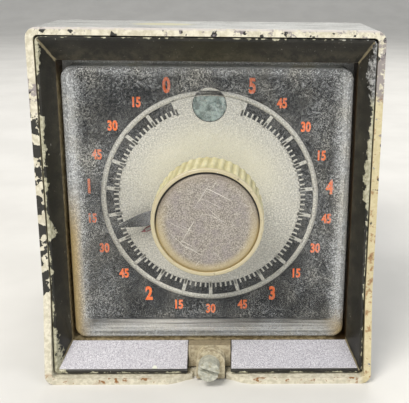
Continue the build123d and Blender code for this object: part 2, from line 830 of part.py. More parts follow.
def make_switch_body(y0, y1):
    """Snap-action switch with a side bore for its plunger and two mounting holes."""
    body = box(switch_left, switch_right, y0, y1, -40.5, -13.0)
    bore = Pos(-6.5, (y0 + y1) / 2, plunger_height) * Rot(0, 90, 0) * Cylinder(1.06, 5.4)
    for axis in switch_screw_axes:
        body -= rod(1.5, y0 - 1, y1 + 1, axis)
    for z in (-18.0, -25.0, -32.0):
        body += box(switch_right, switch_right + 5.0, (y0 + y1) / 2 - 0.4, (y0 + y1) / 2 + 0.4, z - 2, z + 2)
    return body - bore


def make_switch_plunger(y0, y1):
    """Plunger on the switch's left side."""
    return Pos(-8.3, (y0 + y1) / 2, plunger_height) * Rot(0, 90, 0) * Cylinder(1.0, 6.5)


def make_switch_screws():
    """Long screws through both switches into the gear plate."""
    screws = []
    for axis in switch_screw_axes:
        screw = slotted_screw(1.45, 2.6, 1.8, 26.0, 0.5, axis, 15.0)
        spacers = ring(2.6, 1.5, gear_plate_back, 5.0, axis) + ring(2.6, 1.5, 15.0, 16.0, axis)
        screws += [screw, spacers]
    return group(solid for item in screws for solid in item.solids())


def make_trip_lever():
    """Rocking shaft with a nose in the gear space and a blade beside the switch plungers."""
    x, z = trip_axis
    nose = (-4.4, -18.5)
    lever = rod(1.5, -6.9, 27.0, trip_axis)
    lean = degrees(atan2(nose[1] - z, nose[0] - x))
    length = hypot(nose[0] - x, nose[1] - z)
    arm = Circle(3.0) + Pos(length, 0) * Circle(1.8)
    arm += Pos(length / 2, 0) * Rectangle(length, 3.2)
    lever += prism(Pos(x, z) * Rot(0, 0, lean) * arm, -6.9, -5.5)
    blade = Pos(x, z) * Circle(3.0) + Pos(x, (z - 39.5) / 2) * Rectangle(2.4, z + 39.5)
    return lever + prism(blade, 5.5, 25.5)


parts = {
    "housing_shell": make_housing_shell(),
    "panel_gasket": make_panel_gasket(),
    "mounting_studs": make_mounting_studs(),
    "screw_anchor": make_screw_anchor(),
    "terminal_block": make_terminal_block(),
    "contact_clips": make_contact_clips(),
    "terminal_plates": make_terminal_plates(),
    "terminal_screws": make_terminal_screws(),
    "block_screws": make_block_screws(),
    "front_bezel": make_front_bezel(),
    "nameplate_left": make_nameplate(-1),
    "nameplate_right": make_nameplate(1),
    "lens_cover": make_lens_cover(),
    "dial_plate": make_dial_plate(),
    "screw_collar": make_screw_collar(),
    "captive_screw": make_captive_screw(),
    "screw_ring": make_screw_ring(),
    "pilot_window": make_pilot_window(),
    "lamp_holder": make_lamp_holder(),
    "pilot_lamp": make_pilot_lamp(),
    "lamp_resistor": make_lamp_resistor(),
    "front_plate": make_front_plate(),
    "bezel_screws": make_bezel_screws(),
    "front_bushing": make_front_bushing(),
    "short_posts": make_short_posts(),
    "rear_posts": make_rear_posts(),
    "post_nuts": make_post_nuts(),
    "gear_plate": make_gear_plate(),
    "gear_bushing": make_gear_bushing(),
    "friction_washer": make_friction_washer(),
    "plug_plate": make_plug_plate(),
    "plug_blades": make_plug_blades(),
    "motor_can": make_motor_can(),
    "motor_screws": make_motor_screws(),
    "main_gear": make_main_gear(),
    "clutch_gear": make_clutch_gear(),
    "clutch_arbor": make_clutch_arbor(),
    "motor_pinion": make_motor_pinion(),
    "progress_sleeve": make_progress_sleeve(),
    "progress_pointer": make_progress_pointer(),
    "trip_arm": make_trip_arm(),
    "return_spring": make_return_spring(),
    "spring_anchor": make_spring_anchor(),
    "setting_knob": make_setting_knob(),
    "knob_insert": make_knob_insert(),
    "setting_shaft": make_setting_shaft(),
    "setting_pointer": make_setting_pointer(),
    "friction_disc": make_friction_disc(),
    "clutch_frame": make_clutch_frame(),
    "clutch_coil": make_clutch_coil(),
    "clutch_plunger": make_clutch_plunger(),
    "plunger_pin": make_plunger_pin(),
    "clutch_lever": make_clutch_lever(),
    "lever_pivot": make_lever_pivot(),
    "switch_screws": make_switch_screws(),
    "trip_lever": make_trip_lever(),
}
for row, (y0, y1) in switch_rows.items():
    parts[f"switch_body_{row}"] = make_switch_body(y0, y1)
    parts[f"switch_plunger_{row}"] = make_switch_plunger(y0, y1)

os.makedirs("parts", exist_ok=True)
for name, solid in parts.items():
    export_step(solid, f"parts/{name}.step")
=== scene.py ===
import json
from math import cos, pi, radians, sin

import bmesh
import bpy
from mathutils import Matrix, Vector


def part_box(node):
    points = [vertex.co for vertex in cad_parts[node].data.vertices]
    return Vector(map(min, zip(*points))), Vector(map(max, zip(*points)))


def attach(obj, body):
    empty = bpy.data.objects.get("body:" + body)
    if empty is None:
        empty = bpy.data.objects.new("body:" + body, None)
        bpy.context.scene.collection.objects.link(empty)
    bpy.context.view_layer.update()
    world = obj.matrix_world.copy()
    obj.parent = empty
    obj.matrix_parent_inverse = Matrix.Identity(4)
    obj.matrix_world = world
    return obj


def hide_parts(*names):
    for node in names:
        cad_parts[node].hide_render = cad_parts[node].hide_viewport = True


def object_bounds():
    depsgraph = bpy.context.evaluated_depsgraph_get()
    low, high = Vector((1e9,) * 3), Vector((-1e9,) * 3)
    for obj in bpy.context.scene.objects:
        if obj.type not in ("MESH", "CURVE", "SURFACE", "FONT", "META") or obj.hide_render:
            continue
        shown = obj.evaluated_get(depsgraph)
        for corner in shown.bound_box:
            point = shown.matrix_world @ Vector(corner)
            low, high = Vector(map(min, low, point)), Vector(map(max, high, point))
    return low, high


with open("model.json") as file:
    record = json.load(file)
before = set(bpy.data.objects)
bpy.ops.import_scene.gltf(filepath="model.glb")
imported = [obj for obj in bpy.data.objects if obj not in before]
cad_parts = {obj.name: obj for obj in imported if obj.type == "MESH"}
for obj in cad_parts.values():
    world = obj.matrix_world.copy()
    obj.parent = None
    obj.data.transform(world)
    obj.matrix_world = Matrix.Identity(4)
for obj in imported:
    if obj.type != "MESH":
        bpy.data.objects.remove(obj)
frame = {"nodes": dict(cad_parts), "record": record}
cad_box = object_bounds()
nodes = frame["nodes"]
mm = 0.001

# ---- Sleeve, flange and rear tube ----
# One die casting that stays in the panel. It was enamelled silver grey over a cream undercoat, and the
# front edge has worn back through the black trim coat to cream, with rust where the lower lip is bare.


def shade(code):
    """Linear colour from the usual six-figure code."""
    parts = [int(code[i : i + 2], 16) / 255 for i in (0, 2, 4)]
    return [p / 12.92 if p <= 0.04045 else ((p + 0.055) / 1.055) ** 2.4 for p in parts] + [1.0]


class Finish:
    """A surface finish built from nodes that read the piece's own place, in millimetres."""

    def __init__(self, name):
        self.material = bpy.data.materials.new(name)
        self.material.use_nodes = True
        self.tree = self.material.node_tree
        self.shader = self.tree.nodes["Principled BSDF"]
        place = self.tree.nodes.new("ShaderNodeTexCoord").outputs["Object"]
        self.place = self.add("ShaderNodeVectorMath", place, (1000.0,) * 3, operation="MULTIPLY").outputs[0]
        self.x, self.y, self.z = self.add("ShaderNodeSeparateXYZ", self.place).outputs

    def add(self, kind, *values, **settings):
        node = self.tree.nodes.new(kind)
        for key, value in settings.items():
            setattr(node, key, value)
        for socket, value in zip(node.inputs, values):
            self.feed(socket, value)
        return node

    def feed(self, socket, value):
        if isinstance(value, bpy.types.NodeSocket):
            self.tree.links.new(value, socket)
        elif value is not None:
            socket.default_value = value

    def maths(self, operation, a, b=None, c=None):
        return self.add("ShaderNodeMath", a, b, c, operation=operation).outputs[0]

    def times(self, *values):
        total = values[0]
        for value in values[1:]:
            total = self.maths("MULTIPLY", total, value)
        return total

    def either(self, *values):
        total = values[0]
        for value in values[1:]:
            total = self.maths("MAXIMUM", total, value)
        return total

    def step(self, value, low, high):
        """0 below low and 1 above high, with a soft change between; the other way round if low is higher."""
        node = self.add("ShaderNodeMapRange", value, low, high, 0.0, 1.0, interpolation_type="SMOOTHSTEP")
        return node.outputs[0]

    def stretched(self, x, y, z):
        return self.add("ShaderNodeVectorMath", self.place, (x, y, z), operation="MULTIPLY").outputs[0]

    def grain(self, size, detail=3.0, roughness=0.55, place=None):
        node = self.tree.nodes.new("ShaderNodeTexNoise")
        self.feed(node.inputs["Vector"], place or self.place)
        self.feed(node.inputs["Scale"], 1.0 / size)
        self.feed(node.inputs["Detail"], detail)
        self.feed(node.inputs["Roughness"], roughness)
        return node.outputs[0]

    def flecks(self, pitch, share, radius, place=None):
        """Scattered dots: one in each cell of that pitch, kept for a share of the cells."""
        node = self.tree.nodes.new("ShaderNodeTexVoronoi")
        self.feed(node.inputs["Vector"], place or self.place)
        self.feed(node.inputs["Scale"], 1.0 / pitch)
        chance = self.add("ShaderNodeSeparateColor", node.outputs["Color"]).outputs[0]
        reach = self.maths("MULTIPLY", self.maths("ADD", chance, 0.35), radius / pitch)
        dot = self.maths("LESS_THAN", node.outputs["Distance"], reach)
        return self.times(dot, self.maths("LESS_THAN", chance, share))

    def blend(self, amount, below, above):
        node = self.tree.nodes.new("ShaderNodeMix")
        node.data_type = "RGBA"
        self.feed(node.inputs[0], amount)
        self.feed(node.inputs[6], shade(below) if isinstance(below, str) else below)
        self.feed(node.inputs[7], shade(above) if isinstance(above, str) else above)
        return node.outputs[2]

    def level(self, amount, below, above):
        """A number that goes from below to above as amount goes from 0 to 1."""
        return self.add("ShaderNodeMapRange", amount, 0.0, 1.0, below, above).outputs[0]

    def show(self, colour, roughness, metallic=0.0, bump=None, depth=0.02, **others):
        self.feed(self.shader.inputs["Base Color"], shade(colour) if isinstance(colour, str) else colour)
        self.feed(self.shader.inputs["Roughness"], roughness)
        self.feed(self.shader.inputs["Metallic"], metallic)
        for key, value in others.items():
            self.feed(self.shader.inputs[key.replace("_", " ")], value)
        if bump is not None:
            node = self.tree.nodes.new("ShaderNodeBump")
            node.inputs["Strength"].default_value = 1.0
            node.inputs["Distance"].default_value = depth * mm
            self.feed(node.inputs["Height"], bump)
            self.feed(self.shader.inputs["Normal"], node.outputs[0])
        return self.material


def new_piece(name, mesh):
    piece = bpy.data.objects.new(name, mesh)
    bpy.context.scene.collection.objects.link(piece)
    return piece


def eased_copy(node, name, width, segments=2, sharp=30):
    """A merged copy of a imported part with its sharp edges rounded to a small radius."""
    shape = bmesh.new()
    shape.from_mesh(nodes[node].data)
    bmesh.ops.remove_doubles(shape, verts=shape.verts, dist=0.004 * mm)
    bmesh.ops.dissolve_limit(shape, angle_limit=radians(1.0), verts=shape.verts, edges=shape.edges)
    mesh = bpy.data.meshes.new(name)
    shape.to_mesh(mesh)
    shape.free()
    mesh.shade_smooth()
    mesh.set_sharp_from_angle(angle=radians(sharp))
    piece = new_piece(name, mesh)
    bevel = piece.modifiers.new("eased edges", "BEVEL")
    bevel.width = width * mm
    bevel.segments = segments
    bevel.limit_method = "ANGLE"
    bevel.angle_limit = radians(sharp)
    bevel.harden_normals = True
    return piece


def fit(piece, body, material, slot, *replaced):
    """Gives a finished piece its finish and its place in the assembly."""
    piece.data.materials.clear()
    piece.data.materials.append(material)
    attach(piece, body)
    if replaced:
        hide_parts(*replaced)
    return piece


def profile(finish, value, stops, most=1.0):
    """A value that goes from stop to stop in straight runs. Each stop is (place, value)."""
    stops = sorted(stops)
    low, high = stops[0][0], stops[-1][0]
    share = finish.maths("DIVIDE", finish.maths("SUBTRACT", value, low), high - low)
    ramp = finish.add("ShaderNodeValToRGB", share)
    band = ramp.color_ramp
    while len(band.elements) < len(stops):
        band.elements.new(0.5)
    for element, (place, amount) in zip(band.elements, stops):
        element.position = (place - low) / (high - low)
        element.color = (amount / most, amount / most, amount / most, 1)
    return finish.times(ramp.outputs[0], most)


rim_y = -34.0
chin_start, chin_slope = -24.0, 0.2137

sleeve = Finish("enamelled sleeve")
fine = sleeve.grain(0.45, 2.0, 0.7)
cloudy = sleeve.grain(9.0, 4.0)
streaks = sleeve.grain(1.0, 3.0, place=sleeve.stretched(0.09, 2.2, 1.0))
ragged = sleeve.grain(2.6, 5.0, 0.65)
blotchy = sleeve.grain(3.8, 4.0, 0.5)
enamel = sleeve.blend(sleeve.step(fine, 0.36, 0.66), "666764", "a6a7a4")
enamel = sleeve.blend(sleeve.times(sleeve.step(cloudy, 0.45, 0.75), 0.6), enamel, "5c5c57")
on_top = sleeve.step(sleeve.z, 49.6, 50.5)
# the top face gets pale streaks: partly real brushed polish, partly a painted highlight for the light the top
# face reflects
polish_and_highlight = sleeve.times(on_top, sleeve.step(streaks, 0.46, 0.66), 0.75)
enamel = sleeve.blend(polish_and_highlight, enamel, "c4c4bf")
scuffs = sleeve.times(on_top, sleeve.step(streaks, 0.43, 0.36))
enamel = sleeve.blend(scuffs, enamel, "2b2b2a")
patch_x = sleeve.maths("DIVIDE", sleeve.maths("ADD", sleeve.x, 13.0), 11.0)
patch_y = sleeve.maths("DIVIDE", sleeve.maths("ADD", sleeve.y, 18.0), 6.0)
patch = sleeve.maths("ADD", sleeve.maths("POWER", patch_x, 2.0), sleeve.maths("POWER", patch_y, 2.0))
patch = sleeve.maths("ADD", patch, sleeve.maths("MULTIPLY", ragged, 0.9))
enamel = sleeve.blend(sleeve.times(on_top, sleeve.step(patch, 1.25, 0.75), 0.8), enamel, "a8a37c")
# the undercoat shows inside the mouth, on the lip and along the front edge
cream = sleeve.blend(sleeve.step(sleeve.grain(1.2, 4.0), 0.35, 0.65), "bfb8a2", "dcd6c2")
on_right = sleeve.step(sleeve.x, 44.0, 46.0)
cream = sleeve.blend(sleeve.times(on_right, sleeve.step(sleeve.z, 36.0, 30.0), 0.6), cream, "c3b27c")
fall = sleeve.times(sleeve.maths("MAXIMUM", sleeve.maths("SUBTRACT", chin_start, sleeve.z), 0.0), chin_slope)
from_front = sleeve.maths("ADD", sleeve.maths("SUBTRACT", sleeve.y, rim_y), fall)
lip = sleeve.times(sleeve.step(sleeve.z, -48.2, -48.8), 6.0)
edge_reach = sleeve.maths("ADD", sleeve.maths("ADD", -0.9, lip), sleeve.maths("MULTIPLY", ragged, 2.6))
bare_edge = sleeve.maths("LESS_THAN", from_front, edge_reach)
inside_x = sleeve.maths("LESS_THAN", sleeve.maths("ABSOLUTE", sleeve.x), 45.75)
inside_z = sleeve.maths("LESS_THAN", sleeve.maths("ABSOLUTE", sleeve.z), 48.95)
inside = sleeve.times(inside_x, inside_z, sleeve.maths("LESS_THAN", sleeve.y, -3.5))
colour = sleeve.blend(sleeve.either(bare_edge, inside), enamel, cream)
# black trim coat left on the front edge: most on the left, some along the top, hardly any on the right
in_front = sleeve.step(from_front, 0.45, 0.3)
left_coat = [(-50, 0.2), (-30, 0.36), (-25, 0.5), (-18, 0.52), (12, 0.5)]
left_coat += [(28, 0.5), (31, 0.44), (37, 0.36), (51, 0.3)]
right_coat = [(-50, 0.2), (-30, 0.34), (30, 0.36), (51, 0.42)]
left_side = sleeve.step(sleeve.x, -44.5, -45.7)
right_side = sleeve.step(sleeve.x, 44.5, 45.7)
top_side = sleeve.step(sleeve.z, 48.4, 48.9)
share = sleeve.either(
    sleeve.times(left_side, profile(sleeve, sleeve.z, left_coat)),
    sleeve.times(right_side, profile(sleeve, sleeve.z, right_coat)),
    sleeve.times(top_side, 0.4),
)
black_coat = sleeve.maths("LESS_THAN", blotchy, share)
colour = sleeve.blend(sleeve.times(in_front, black_coat), colour, "2b2a26")
left_metal = [(-50, 0.3), (26, 0.34), (30, 0.5), (36, 0.52), (40, 0.36), (51, 0.38)]
right_metal = [(-50, 0.3), (30, 0.32), (35, 0.52), (51, 0.5)]
bare = sleeve.either(
    sleeve.times(left_side, profile(sleeve, sleeve.z, left_metal)),
    sleeve.times(right_side, profile(sleeve, sleeve.z, right_metal)),
    sleeve.times(top_side, 0.42),
)
bare_metal = sleeve.maths("LESS_THAN", sleeve.grain(2.2, 5.0, 0.7), bare)
colour = sleeve.blend(sleeve.times(in_front, bare_metal, 0.85), colour, "847c7e")
top_corner = sleeve.times(sleeve.step(sleeve.z, 50.1, 50.5), sleeve.step(from_front, 0.9, 0.3))
worn_line = sleeve.times(top_corner, sleeve.step(ragged, 0.36, 0.5))
colour = sleeve.blend(sleeve.times(worn_line, 0.9), colour, "c9c2bd")
rust_zone = sleeve.either(
    sleeve.times(in_front, sleeve.step(sleeve.z, -46.5, -48.9)),
    sleeve.times(in_front, sleeve.step(sleeve.x, 44.5, 46.0), sleeve.step(sleeve.z, 38.0, 30.0), 0.8),
    sleeve.times(sleeve.step(sleeve.z, -50.3, -50.7), 0.5),
)
rust = sleeve.times(rust_zone, sleeve.step(sleeve.grain(2.4, 5.0, 0.7), 0.53, 0.62))
colour = sleeve.blend(rust, colour, "8a5f30")
rust_heart = sleeve.times(rust_zone, sleeve.step(sleeve.grain(2.4, 5.0, 0.7), 0.66, 0.74))
colour = sleeve.blend(rust_heart, colour, "4d2a13")
grime = sleeve.either(
    sleeve.times(sleeve.step(sleeve.y, -5.0, -3.4), sleeve.step(sleeve.y, 1.0, -1.0)),
    sleeve.step(sleeve.y, 71.0, 79.0),
)
grime = sleeve.times(grime, sleeve.step(ragged, 0.35, 0.65), 0.7)
colour = sleeve.blend(grime, colour, "3d3a34")
colour = sleeve.blend(sleeve.times(sleeve.flecks(1.7, 0.3, 0.16), 0.8), colour, "2b2a27")
colour = sleeve.blend(sleeve.times(sleeve.flecks(1.1, 0.16, 0.14), 0.7), colour, "bcbab2")
rough = sleeve.level(sleeve.step(fine, 0.3, 0.7), 0.45, 0.65)
relief = sleeve.maths("ADD", fine, sleeve.times(sleeve.either(bare_edge, black_coat), ragged, 1.4))
sleeve_paint = sleeve.show(colour, rough, 0.1, relief, 0.05)

shell = eased_copy("housing_shell", "sleeve_and_tube", 0.35, 3)
fit(shell, "housing", sleeve_paint, "cream_paint", "housing_shell")

# ---- Gasket, studs and captive screw's anchor ----
# A die-cut rubber ring lies behind the flange, pushed over four steel studs with rolled threads. The
# anchor is a zinc plated block, tapped for the captive screw and staked to the sleeve's floor.

rubber = Finish("gasket rubber")
bloom = rubber.grain(4.0, 4.0)
tone = rubber.blend(rubber.step(bloom, 0.4, 0.7), "1b1b1a", "35342f")
gasket_rubber = rubber.show(tone, rubber.level(bloom, 0.65, 0.9), 0.0, rubber.grain(0.3, 2.0), 0.03)
gasket = eased_copy("panel_gasket", "rubber_gasket", 0.2)
fit(gasket, "housing", gasket_rubber, "gasket_rubber", "panel_gasket")

zinc = Finish("zinc plate")
spangle = zinc.grain(1.6, 4.0, 0.6)
tone = zinc.blend(zinc.step(spangle, 0.35, 0.7), "8f9290", "b7b8b2")
tone = zinc.blend(zinc.times(zinc.step(zinc.grain(5.0, 5.0, 0.7), 0.56, 0.7), 0.6), tone, "7a725c")
zinc_plate = zinc.show(tone, zinc.level(spangle, 0.28, 0.5), 0.9, zinc.grain(0.4, 2.0), 0.01)


def turned_body(name, profile, segments, waves=0, twist=0.0):
    """A solid turned about the Y axis. Each profile step is (radius, y, wave depth) in millimetres."""
    shape = bmesh.new()
    rings = []
    first_y, last_y = profile[0][1], profile[-1][1]
    for radius, y, depth in profile:
        if radius == 0:
            rings.append([shape.verts.new((0, y * mm, 0))])
            continue
        turn = twist * (y - first_y) / (last_y - first_y) if twist else 0.0
        ring = []
        for number in range(segments):
            angle = 2 * pi * number / segments
            dip = depth * (0.5 - 0.5 * cos(waves * (angle + turn))) ** 1.6 if waves else 0.0
            reach = (radius - dip) * mm
            ring.append(shape.verts.new((reach * cos(angle), y * mm, reach * sin(angle))))
        rings.append(ring)
    for low, high in zip(rings, rings[1:]):
        for number in range(segments):
            after = (number + 1) % segments
            corners = [low[number % len(low)], low[after % len(low)]]
            corners += [high[after % len(high)], high[number % len(high)]]
            shape.faces.new(list(dict.fromkeys(corners)))
    bmesh.ops.recalc_face_normals(shape, faces=shape.faces)
    mesh = bpy.data.meshes.new(name)
    shape.to_mesh(mesh)
    shape.free()
    mesh.shade_smooth()
    mesh.set_sharp_from_angle(angle=radians(32))
    return new_piece(name, mesh)


class Growth:
    """A Geometry Nodes tree with named inputs, and the piece that grows from it."""

    def __init__(self, name):
        self.name = name
        self.tree = bpy.data.node_groups.new(name, "GeometryNodeTree")
        self.tree.interface.new_socket("Geometry", in_out="OUTPUT", socket_type="NodeSocketGeometry")
        self.values = {}
        self.entry = self.tree.nodes.new("NodeGroupInput")

    def size(self, label, kind, value):
        socket = self.tree.interface.new_socket(label, in_out="INPUT", socket_type="NodeSocket" + kind)
        self.values[socket.identifier] = value
        return next(s for s in self.entry.outputs if s.identifier == socket.identifier)

    def add(self, kind, values=None, **settings):
        node = self.tree.nodes.new(kind)
        for key, value in settings.items():
            setattr(node, key, value)
        for key, value in (values or {}).items():
            socket = node.inputs[key]
            if isinstance(value, bpy.types.NodeSocket):
                self.tree.links.new(value, socket)
            else:
                socket.default_value = value
        return node

    def maths(self, operation, a, b):
        return self.add("ShaderNodeMath", {0: a, 1: b}, operation=operation).outputs[0]

    def piece(self, *parts):
        """Joins the parts, makes them real, paints them and returns a plain mesh."""
        material = self.size("Material", "Material", self.material)
        joined = self.add("GeometryNodeJoinGeometry")
        for part in reversed(parts):
            self.tree.links.new(part, joined.inputs[0])
        real = self.add("GeometryNodeRealizeInstances", {0: joined.outputs[0]})
        painted = self.add("GeometryNodeSetMaterial", {"Geometry": real.outputs[0], "Material": material})
        exit_node = self.tree.nodes.new("NodeGroupOutput")
        self.tree.links.new(painted.outputs[0], exit_node.inputs[0])
        grown = new_piece(self.name, bpy.data.meshes.new(self.name))
        modifier = grown.modifiers.new("growth", "NODES")
        modifier.node_group = self.tree
        for identifier, value in self.values.items():
            modifier[identifier] = value
        depsgraph = bpy.context.evaluated_depsgraph_get()
        mesh = bpy.data.meshes.new_from_object(grown.evaluated_get(depsgraph))
        grown.modifiers.remove(modifier)
        grown.data = mesh
        return grown


def rows_of(name, blank, columns, rows, across, up, turn, material):
    """Copies of one blank at the crossings of a grid in the XZ plane, each turned a little further."""
    growth = Growth(name)
    growth.material = material
    grid = growth.add(
        "GeometryNodeMeshGrid",
        {
            "Size X": growth.size("Width across columns", "Float", across * mm),
            "Size Y": growth.size("Height across rows", "Float", up * mm),
            "Vertices X": growth.size("Columns", "Int", columns),
            "Vertices Y": growth.size("Rows", "Int", rows),
        },
    )
    upright = growth.add("GeometryNodeTransform", {"Geometry": grid.outputs[0], "Rotation": (pi / 2, 0, 0)})
    source = growth.add("GeometryNodeObjectInfo", {"Object": growth.size("Blank", "Object", blank)})
    index = growth.add("GeometryNodeInputIndex").outputs[0]
    angle = growth.maths("MULTIPLY", index, growth.size("Turn from one to the next", "Float", turn))
    turned = growth.add("ShaderNodeCombineXYZ", {"Y": angle}).outputs[0]
    placed = growth.add(
        "GeometryNodeInstanceOnPoints",
        {"Points": upright.outputs[0], "Instance": source.outputs["Geometry"], "Rotation": turned},
    )
    grown = growth.piece(placed.outputs[0])
    bpy.data.objects.remove(blank)
    return grown


def thread(radius, root, start, end, pitch):
    """Profile of a rolled thread: crests and roots between two stations."""
    steps, y = [], start
    while y + pitch < end:
        steps += [(root, y, 0), (root, y + 0.2 * pitch, 0)]
        steps += [(radius, y + 0.5 * pitch, 0), (radius, y + 0.7 * pitch, 0)]
        y += pitch
    return steps


stud_spacing_x, stud_spacing_z = 88.4, 94.0
stud_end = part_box("mounting_studs")[1].y / mm
stud_profile = [(0, -3.25, 0), (2.28, -3.25, 0), (2.28, -0.02, 0), (1.62, -0.02, 0)]
stud_profile += thread(1.99, 1.62, 0.2, stud_end - 0.6, 0.7)
stud_profile += [(1.6, stud_end - 0.3, 0), (1.3, stud_end - 0.02, 0), (0, stud_end - 0.02, 0)]
stud = turned_body("stud_blank", stud_profile, 20)
studs = rows_of("threaded_studs", stud, 2, 2, stud_spacing_x, stud_spacing_z, 0.7, zinc_plate)
fit(studs, "housing", zinc_plate, "plated_steel", "mounting_studs")

anchor = eased_copy("screw_anchor", "tapped_anchor", 0.3)
fit(anchor, "housing", zinc_plate, "plated_steel", "screw_anchor")

# ---- Rear terminal block ----
# A dark brown phenolic moulding closes the tube. Square brass saddles lie between its barriers under
# slotted binding screws, and four small screws through the tube's sides hold the block in.

phenolic = Finish("moulded phenolic")
swirl = phenolic.grain(6.0, 5.0, 0.6, phenolic.stretched(1.0, 0.4, 1.0))
tone = phenolic.blend(phenolic.step(swirl, 0.35, 0.7), "2a1c14", "4a3426")
tone = phenolic.blend(phenolic.times(phenolic.flecks(0.8, 0.25, 0.12), 0.5), tone, "6b5138")
dusty = phenolic.times(phenolic.step(phenolic.grain(3.0, 5.0, 0.7), 0.5, 0.72), 0.45)
tone = phenolic.blend(dusty, tone, "857b6b")
moulded = phenolic.show(tone, phenolic.level(swirl, 0.3, 0.5), 0.0, phenolic.grain(0.5, 3.0), 0.02)
block = eased_copy("terminal_block", "barrier_block", 0.35)
fit(block, "housing", moulded, "terminal_phenolic", "terminal_block")

brass = Finish("aged brass")
tarnish = brass.grain(1.8, 5.0, 0.65)
tone = brass.blend(brass.step(tarnish, 0.35, 0.7), "b8995a", "8a6a35")
tone = brass.blend(brass.times(brass.step(brass.grain(4.0, 5.0, 0.7), 0.58, 0.7), 0.6), tone, "5a4a30")
aged_brass = brass.show(tone, brass.level(tarnish, 0.25, 0.5), 1.0, brass.grain(0.35, 2.0), 0.01)


def slotted_blank(name, head_radius, head_low, head_high, shank_radius, tip, slot_width, slot_depth):
    """A pan head screw on the Y axis, head towards head_high, with a milled slot."""
    way = 1 if head_high > head_low else -1
    profile = [
        (0, tip, 0),
        (shank_radius, tip, 0),
        (shank_radius, head_low, 0),
        (head_radius, head_low, 0),
        (head_radius, head_high - way * 0.5, 0),
        (head_radius - 0.15, head_high - way * 0.2, 0),
        (head_radius - 0.5, head_high, 0),
        (0, head_high, 0),
    ]
    screw = turned_body(name, profile, 32)
    bpy.ops.mesh.primitive_cube_add(size=1)
    cutter = bpy.context.object
    cutter.scale = (3 * head_radius * mm, 2 * slot_depth * mm, slot_width * mm)
    cutter.location = (0, head_high * mm, 0)
    bpy.context.view_layer.update()
    cut = screw.modifiers.new("milled slot", "BOOLEAN")
    cut.operation, cut.object, cut.solver = "DIFFERENCE", cutter, "EXACT"
    depsgraph = bpy.context.evaluated_depsgraph_get()
    mesh = bpy.data.meshes.new_from_object(screw.evaluated_get(depsgraph))
    screw.modifiers.remove(cut)
    screw.data = mesh
    mesh.set_sharp_from_angle(angle=radians(32))
    bpy.data.objects.remove(cutter)
    return screw


screw_low, screw_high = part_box("terminal_screws")
binding_radius = 3.3
terminal_across = (screw_high.x - screw_low.x) / mm - 2 * binding_radius
terminal_up = (screw_high.z - screw_low.z) / mm - 2 * binding_radius
head_top = screw_high.y / mm
binding = slotted_blank("binding_blank", binding_radius, head_top - 2.2, head_top, 1.45, 74.0, 0.9, 1.2)
binders = rows_of("binding_screws", binding, 2, 6, terminal_across, terminal_up, 0.62, aged_brass)
fit(binders, "housing", aged_brass, "brass_parts", "terminal_screws")

for clip in ("terminal_plates", "contact_clips"):
    nodes[clip].data.materials.clear()
    nodes[clip].data.materials.append(aged_brass)

side_screws = eased_copy("block_screws", "block_side_screws", 0.12)
fit(side_screws, "housing", zinc_plate, "plated_steel", "block_screws")

# ---- Front bezel ----
# A zinc casting in satin black paint: a flat outer rim and four slopes that lead down to the window.
# It is chipped to cream at the outer rim, rubbed pale along the mitres, and dusty in the corners.

rim_x, rim_low, rim_high = 45.2, -48.3, 48.4

black = Finish("satin black bezel")
across = black.maths("ABSOLUTE", black.x)
from_side = black.maths("SUBTRACT", rim_x, across)
from_top = black.maths("SUBTRACT", rim_high, black.z)
from_foot = black.maths("SUBTRACT", black.z, rim_low)
from_rim = black.maths("MINIMUM", from_side, black.maths("MINIMUM", from_top, from_foot))
ragged = black.grain(2.4, 5.0, 0.65)
fine = black.grain(0.3, 2.0)
soft_wear = black.grain(7.0, 4.0, 0.6)
tone = black.blend(black.step(soft_wear, 0.4, 0.75), "191813", "2d2b24")
tone = black.blend(black.times(black.step(fine, 0.55, 0.75), 0.35), tone, "54514a")
dust = black.step(from_rim, 1.5, 5.5)
tone = black.blend(black.times(dust, black.step(ragged, 0.35, 0.7), 0.35), tone, "6a6350")
# inner wall, brown with dirt, its top and right walls darkened by painted shade
in_mouth = black.times(black.step(black.y, -29.4, -28.6), black.step(from_rim, 2.4, 3.0))
wall_dirt_and_shade = black.blend(black.step(black.grain(1.2, 5.0, 0.7), 0.4, 0.65), "6e5f40", "b8a884")
# painted shade: the top and right inner walls are darkened to dark brown
shaded = black.either(black.step(black.z, 36.0, 39.0), black.step(black.x, 36.0, 39.0))
wall_dirt_and_shade = black.blend(shaded, wall_dirt_and_shade, "3d2d18")
tone = black.blend(black.times(in_mouth, 0.9), tone, wall_dirt_and_shade)
# mitres rubbed pale
inset = black.maths("SUBTRACT", from_side, 0.36)
upper_mitre = black.maths("ABSOLUTE", black.maths("SUBTRACT", inset, black.times(from_top, 0.556)))
lower_mitre = black.maths("ABSOLUTE", black.maths("SUBTRACT", inset, black.times(from_foot, 0.537)))
mitre = black.maths("MINIMUM", upper_mitre, lower_mitre)
mitre_reach = black.maths("ADD", black.times(ragged, 0.9), -0.12)
on_slope = black.times(black.step(from_rim, 0.4, 0.8), black.step(black.y, -28.9, -29.1))
rubbed = black.times(on_slope, black.maths("LESS_THAN", mitre, mitre_reach), 0.8)
tone = black.blend(rubbed, tone, "8f8468")

left_stops = [(-48, 3.2), (-44, 2.2), (-38, 1.1), (-33, 0.3), (-19, 0.2), (-17.5, 0.7), (-16, 0.1)]
left_stops += [(-9, 0.2), (-7, 1.9), (-3, 0.9), (1.5, 0.4), (3, 0.1), (5, 0.9), (9, 0.6), (11, 0.1)]
left_stops += [(15, 1.1), (20, 0.7), (26, 1.1), (30, 0.1), (38, 0.2), (41, 0.7), (48, 0.9)]
right_stops = [(-48, 0.2), (-20, 0.0), (-8, 0.2), (1, 0.4), (4, 1.1), (12, 1.4), (20, 0.9), (26, 0.8)]
right_stops += [(30, 0.4), (35, 1.3), (39, 2.2), (43, 1.8), (48, 0.6)]
left_chip = profile(black, black.z, left_stops, 5.0)
right_chip = profile(black, black.z, right_stops, 5.0)
torn = black.level(black.step(ragged, 0.25, 0.75), -0.8, 0.8)
on_left = black.maths("LESS_THAN", black.x, 0.0)
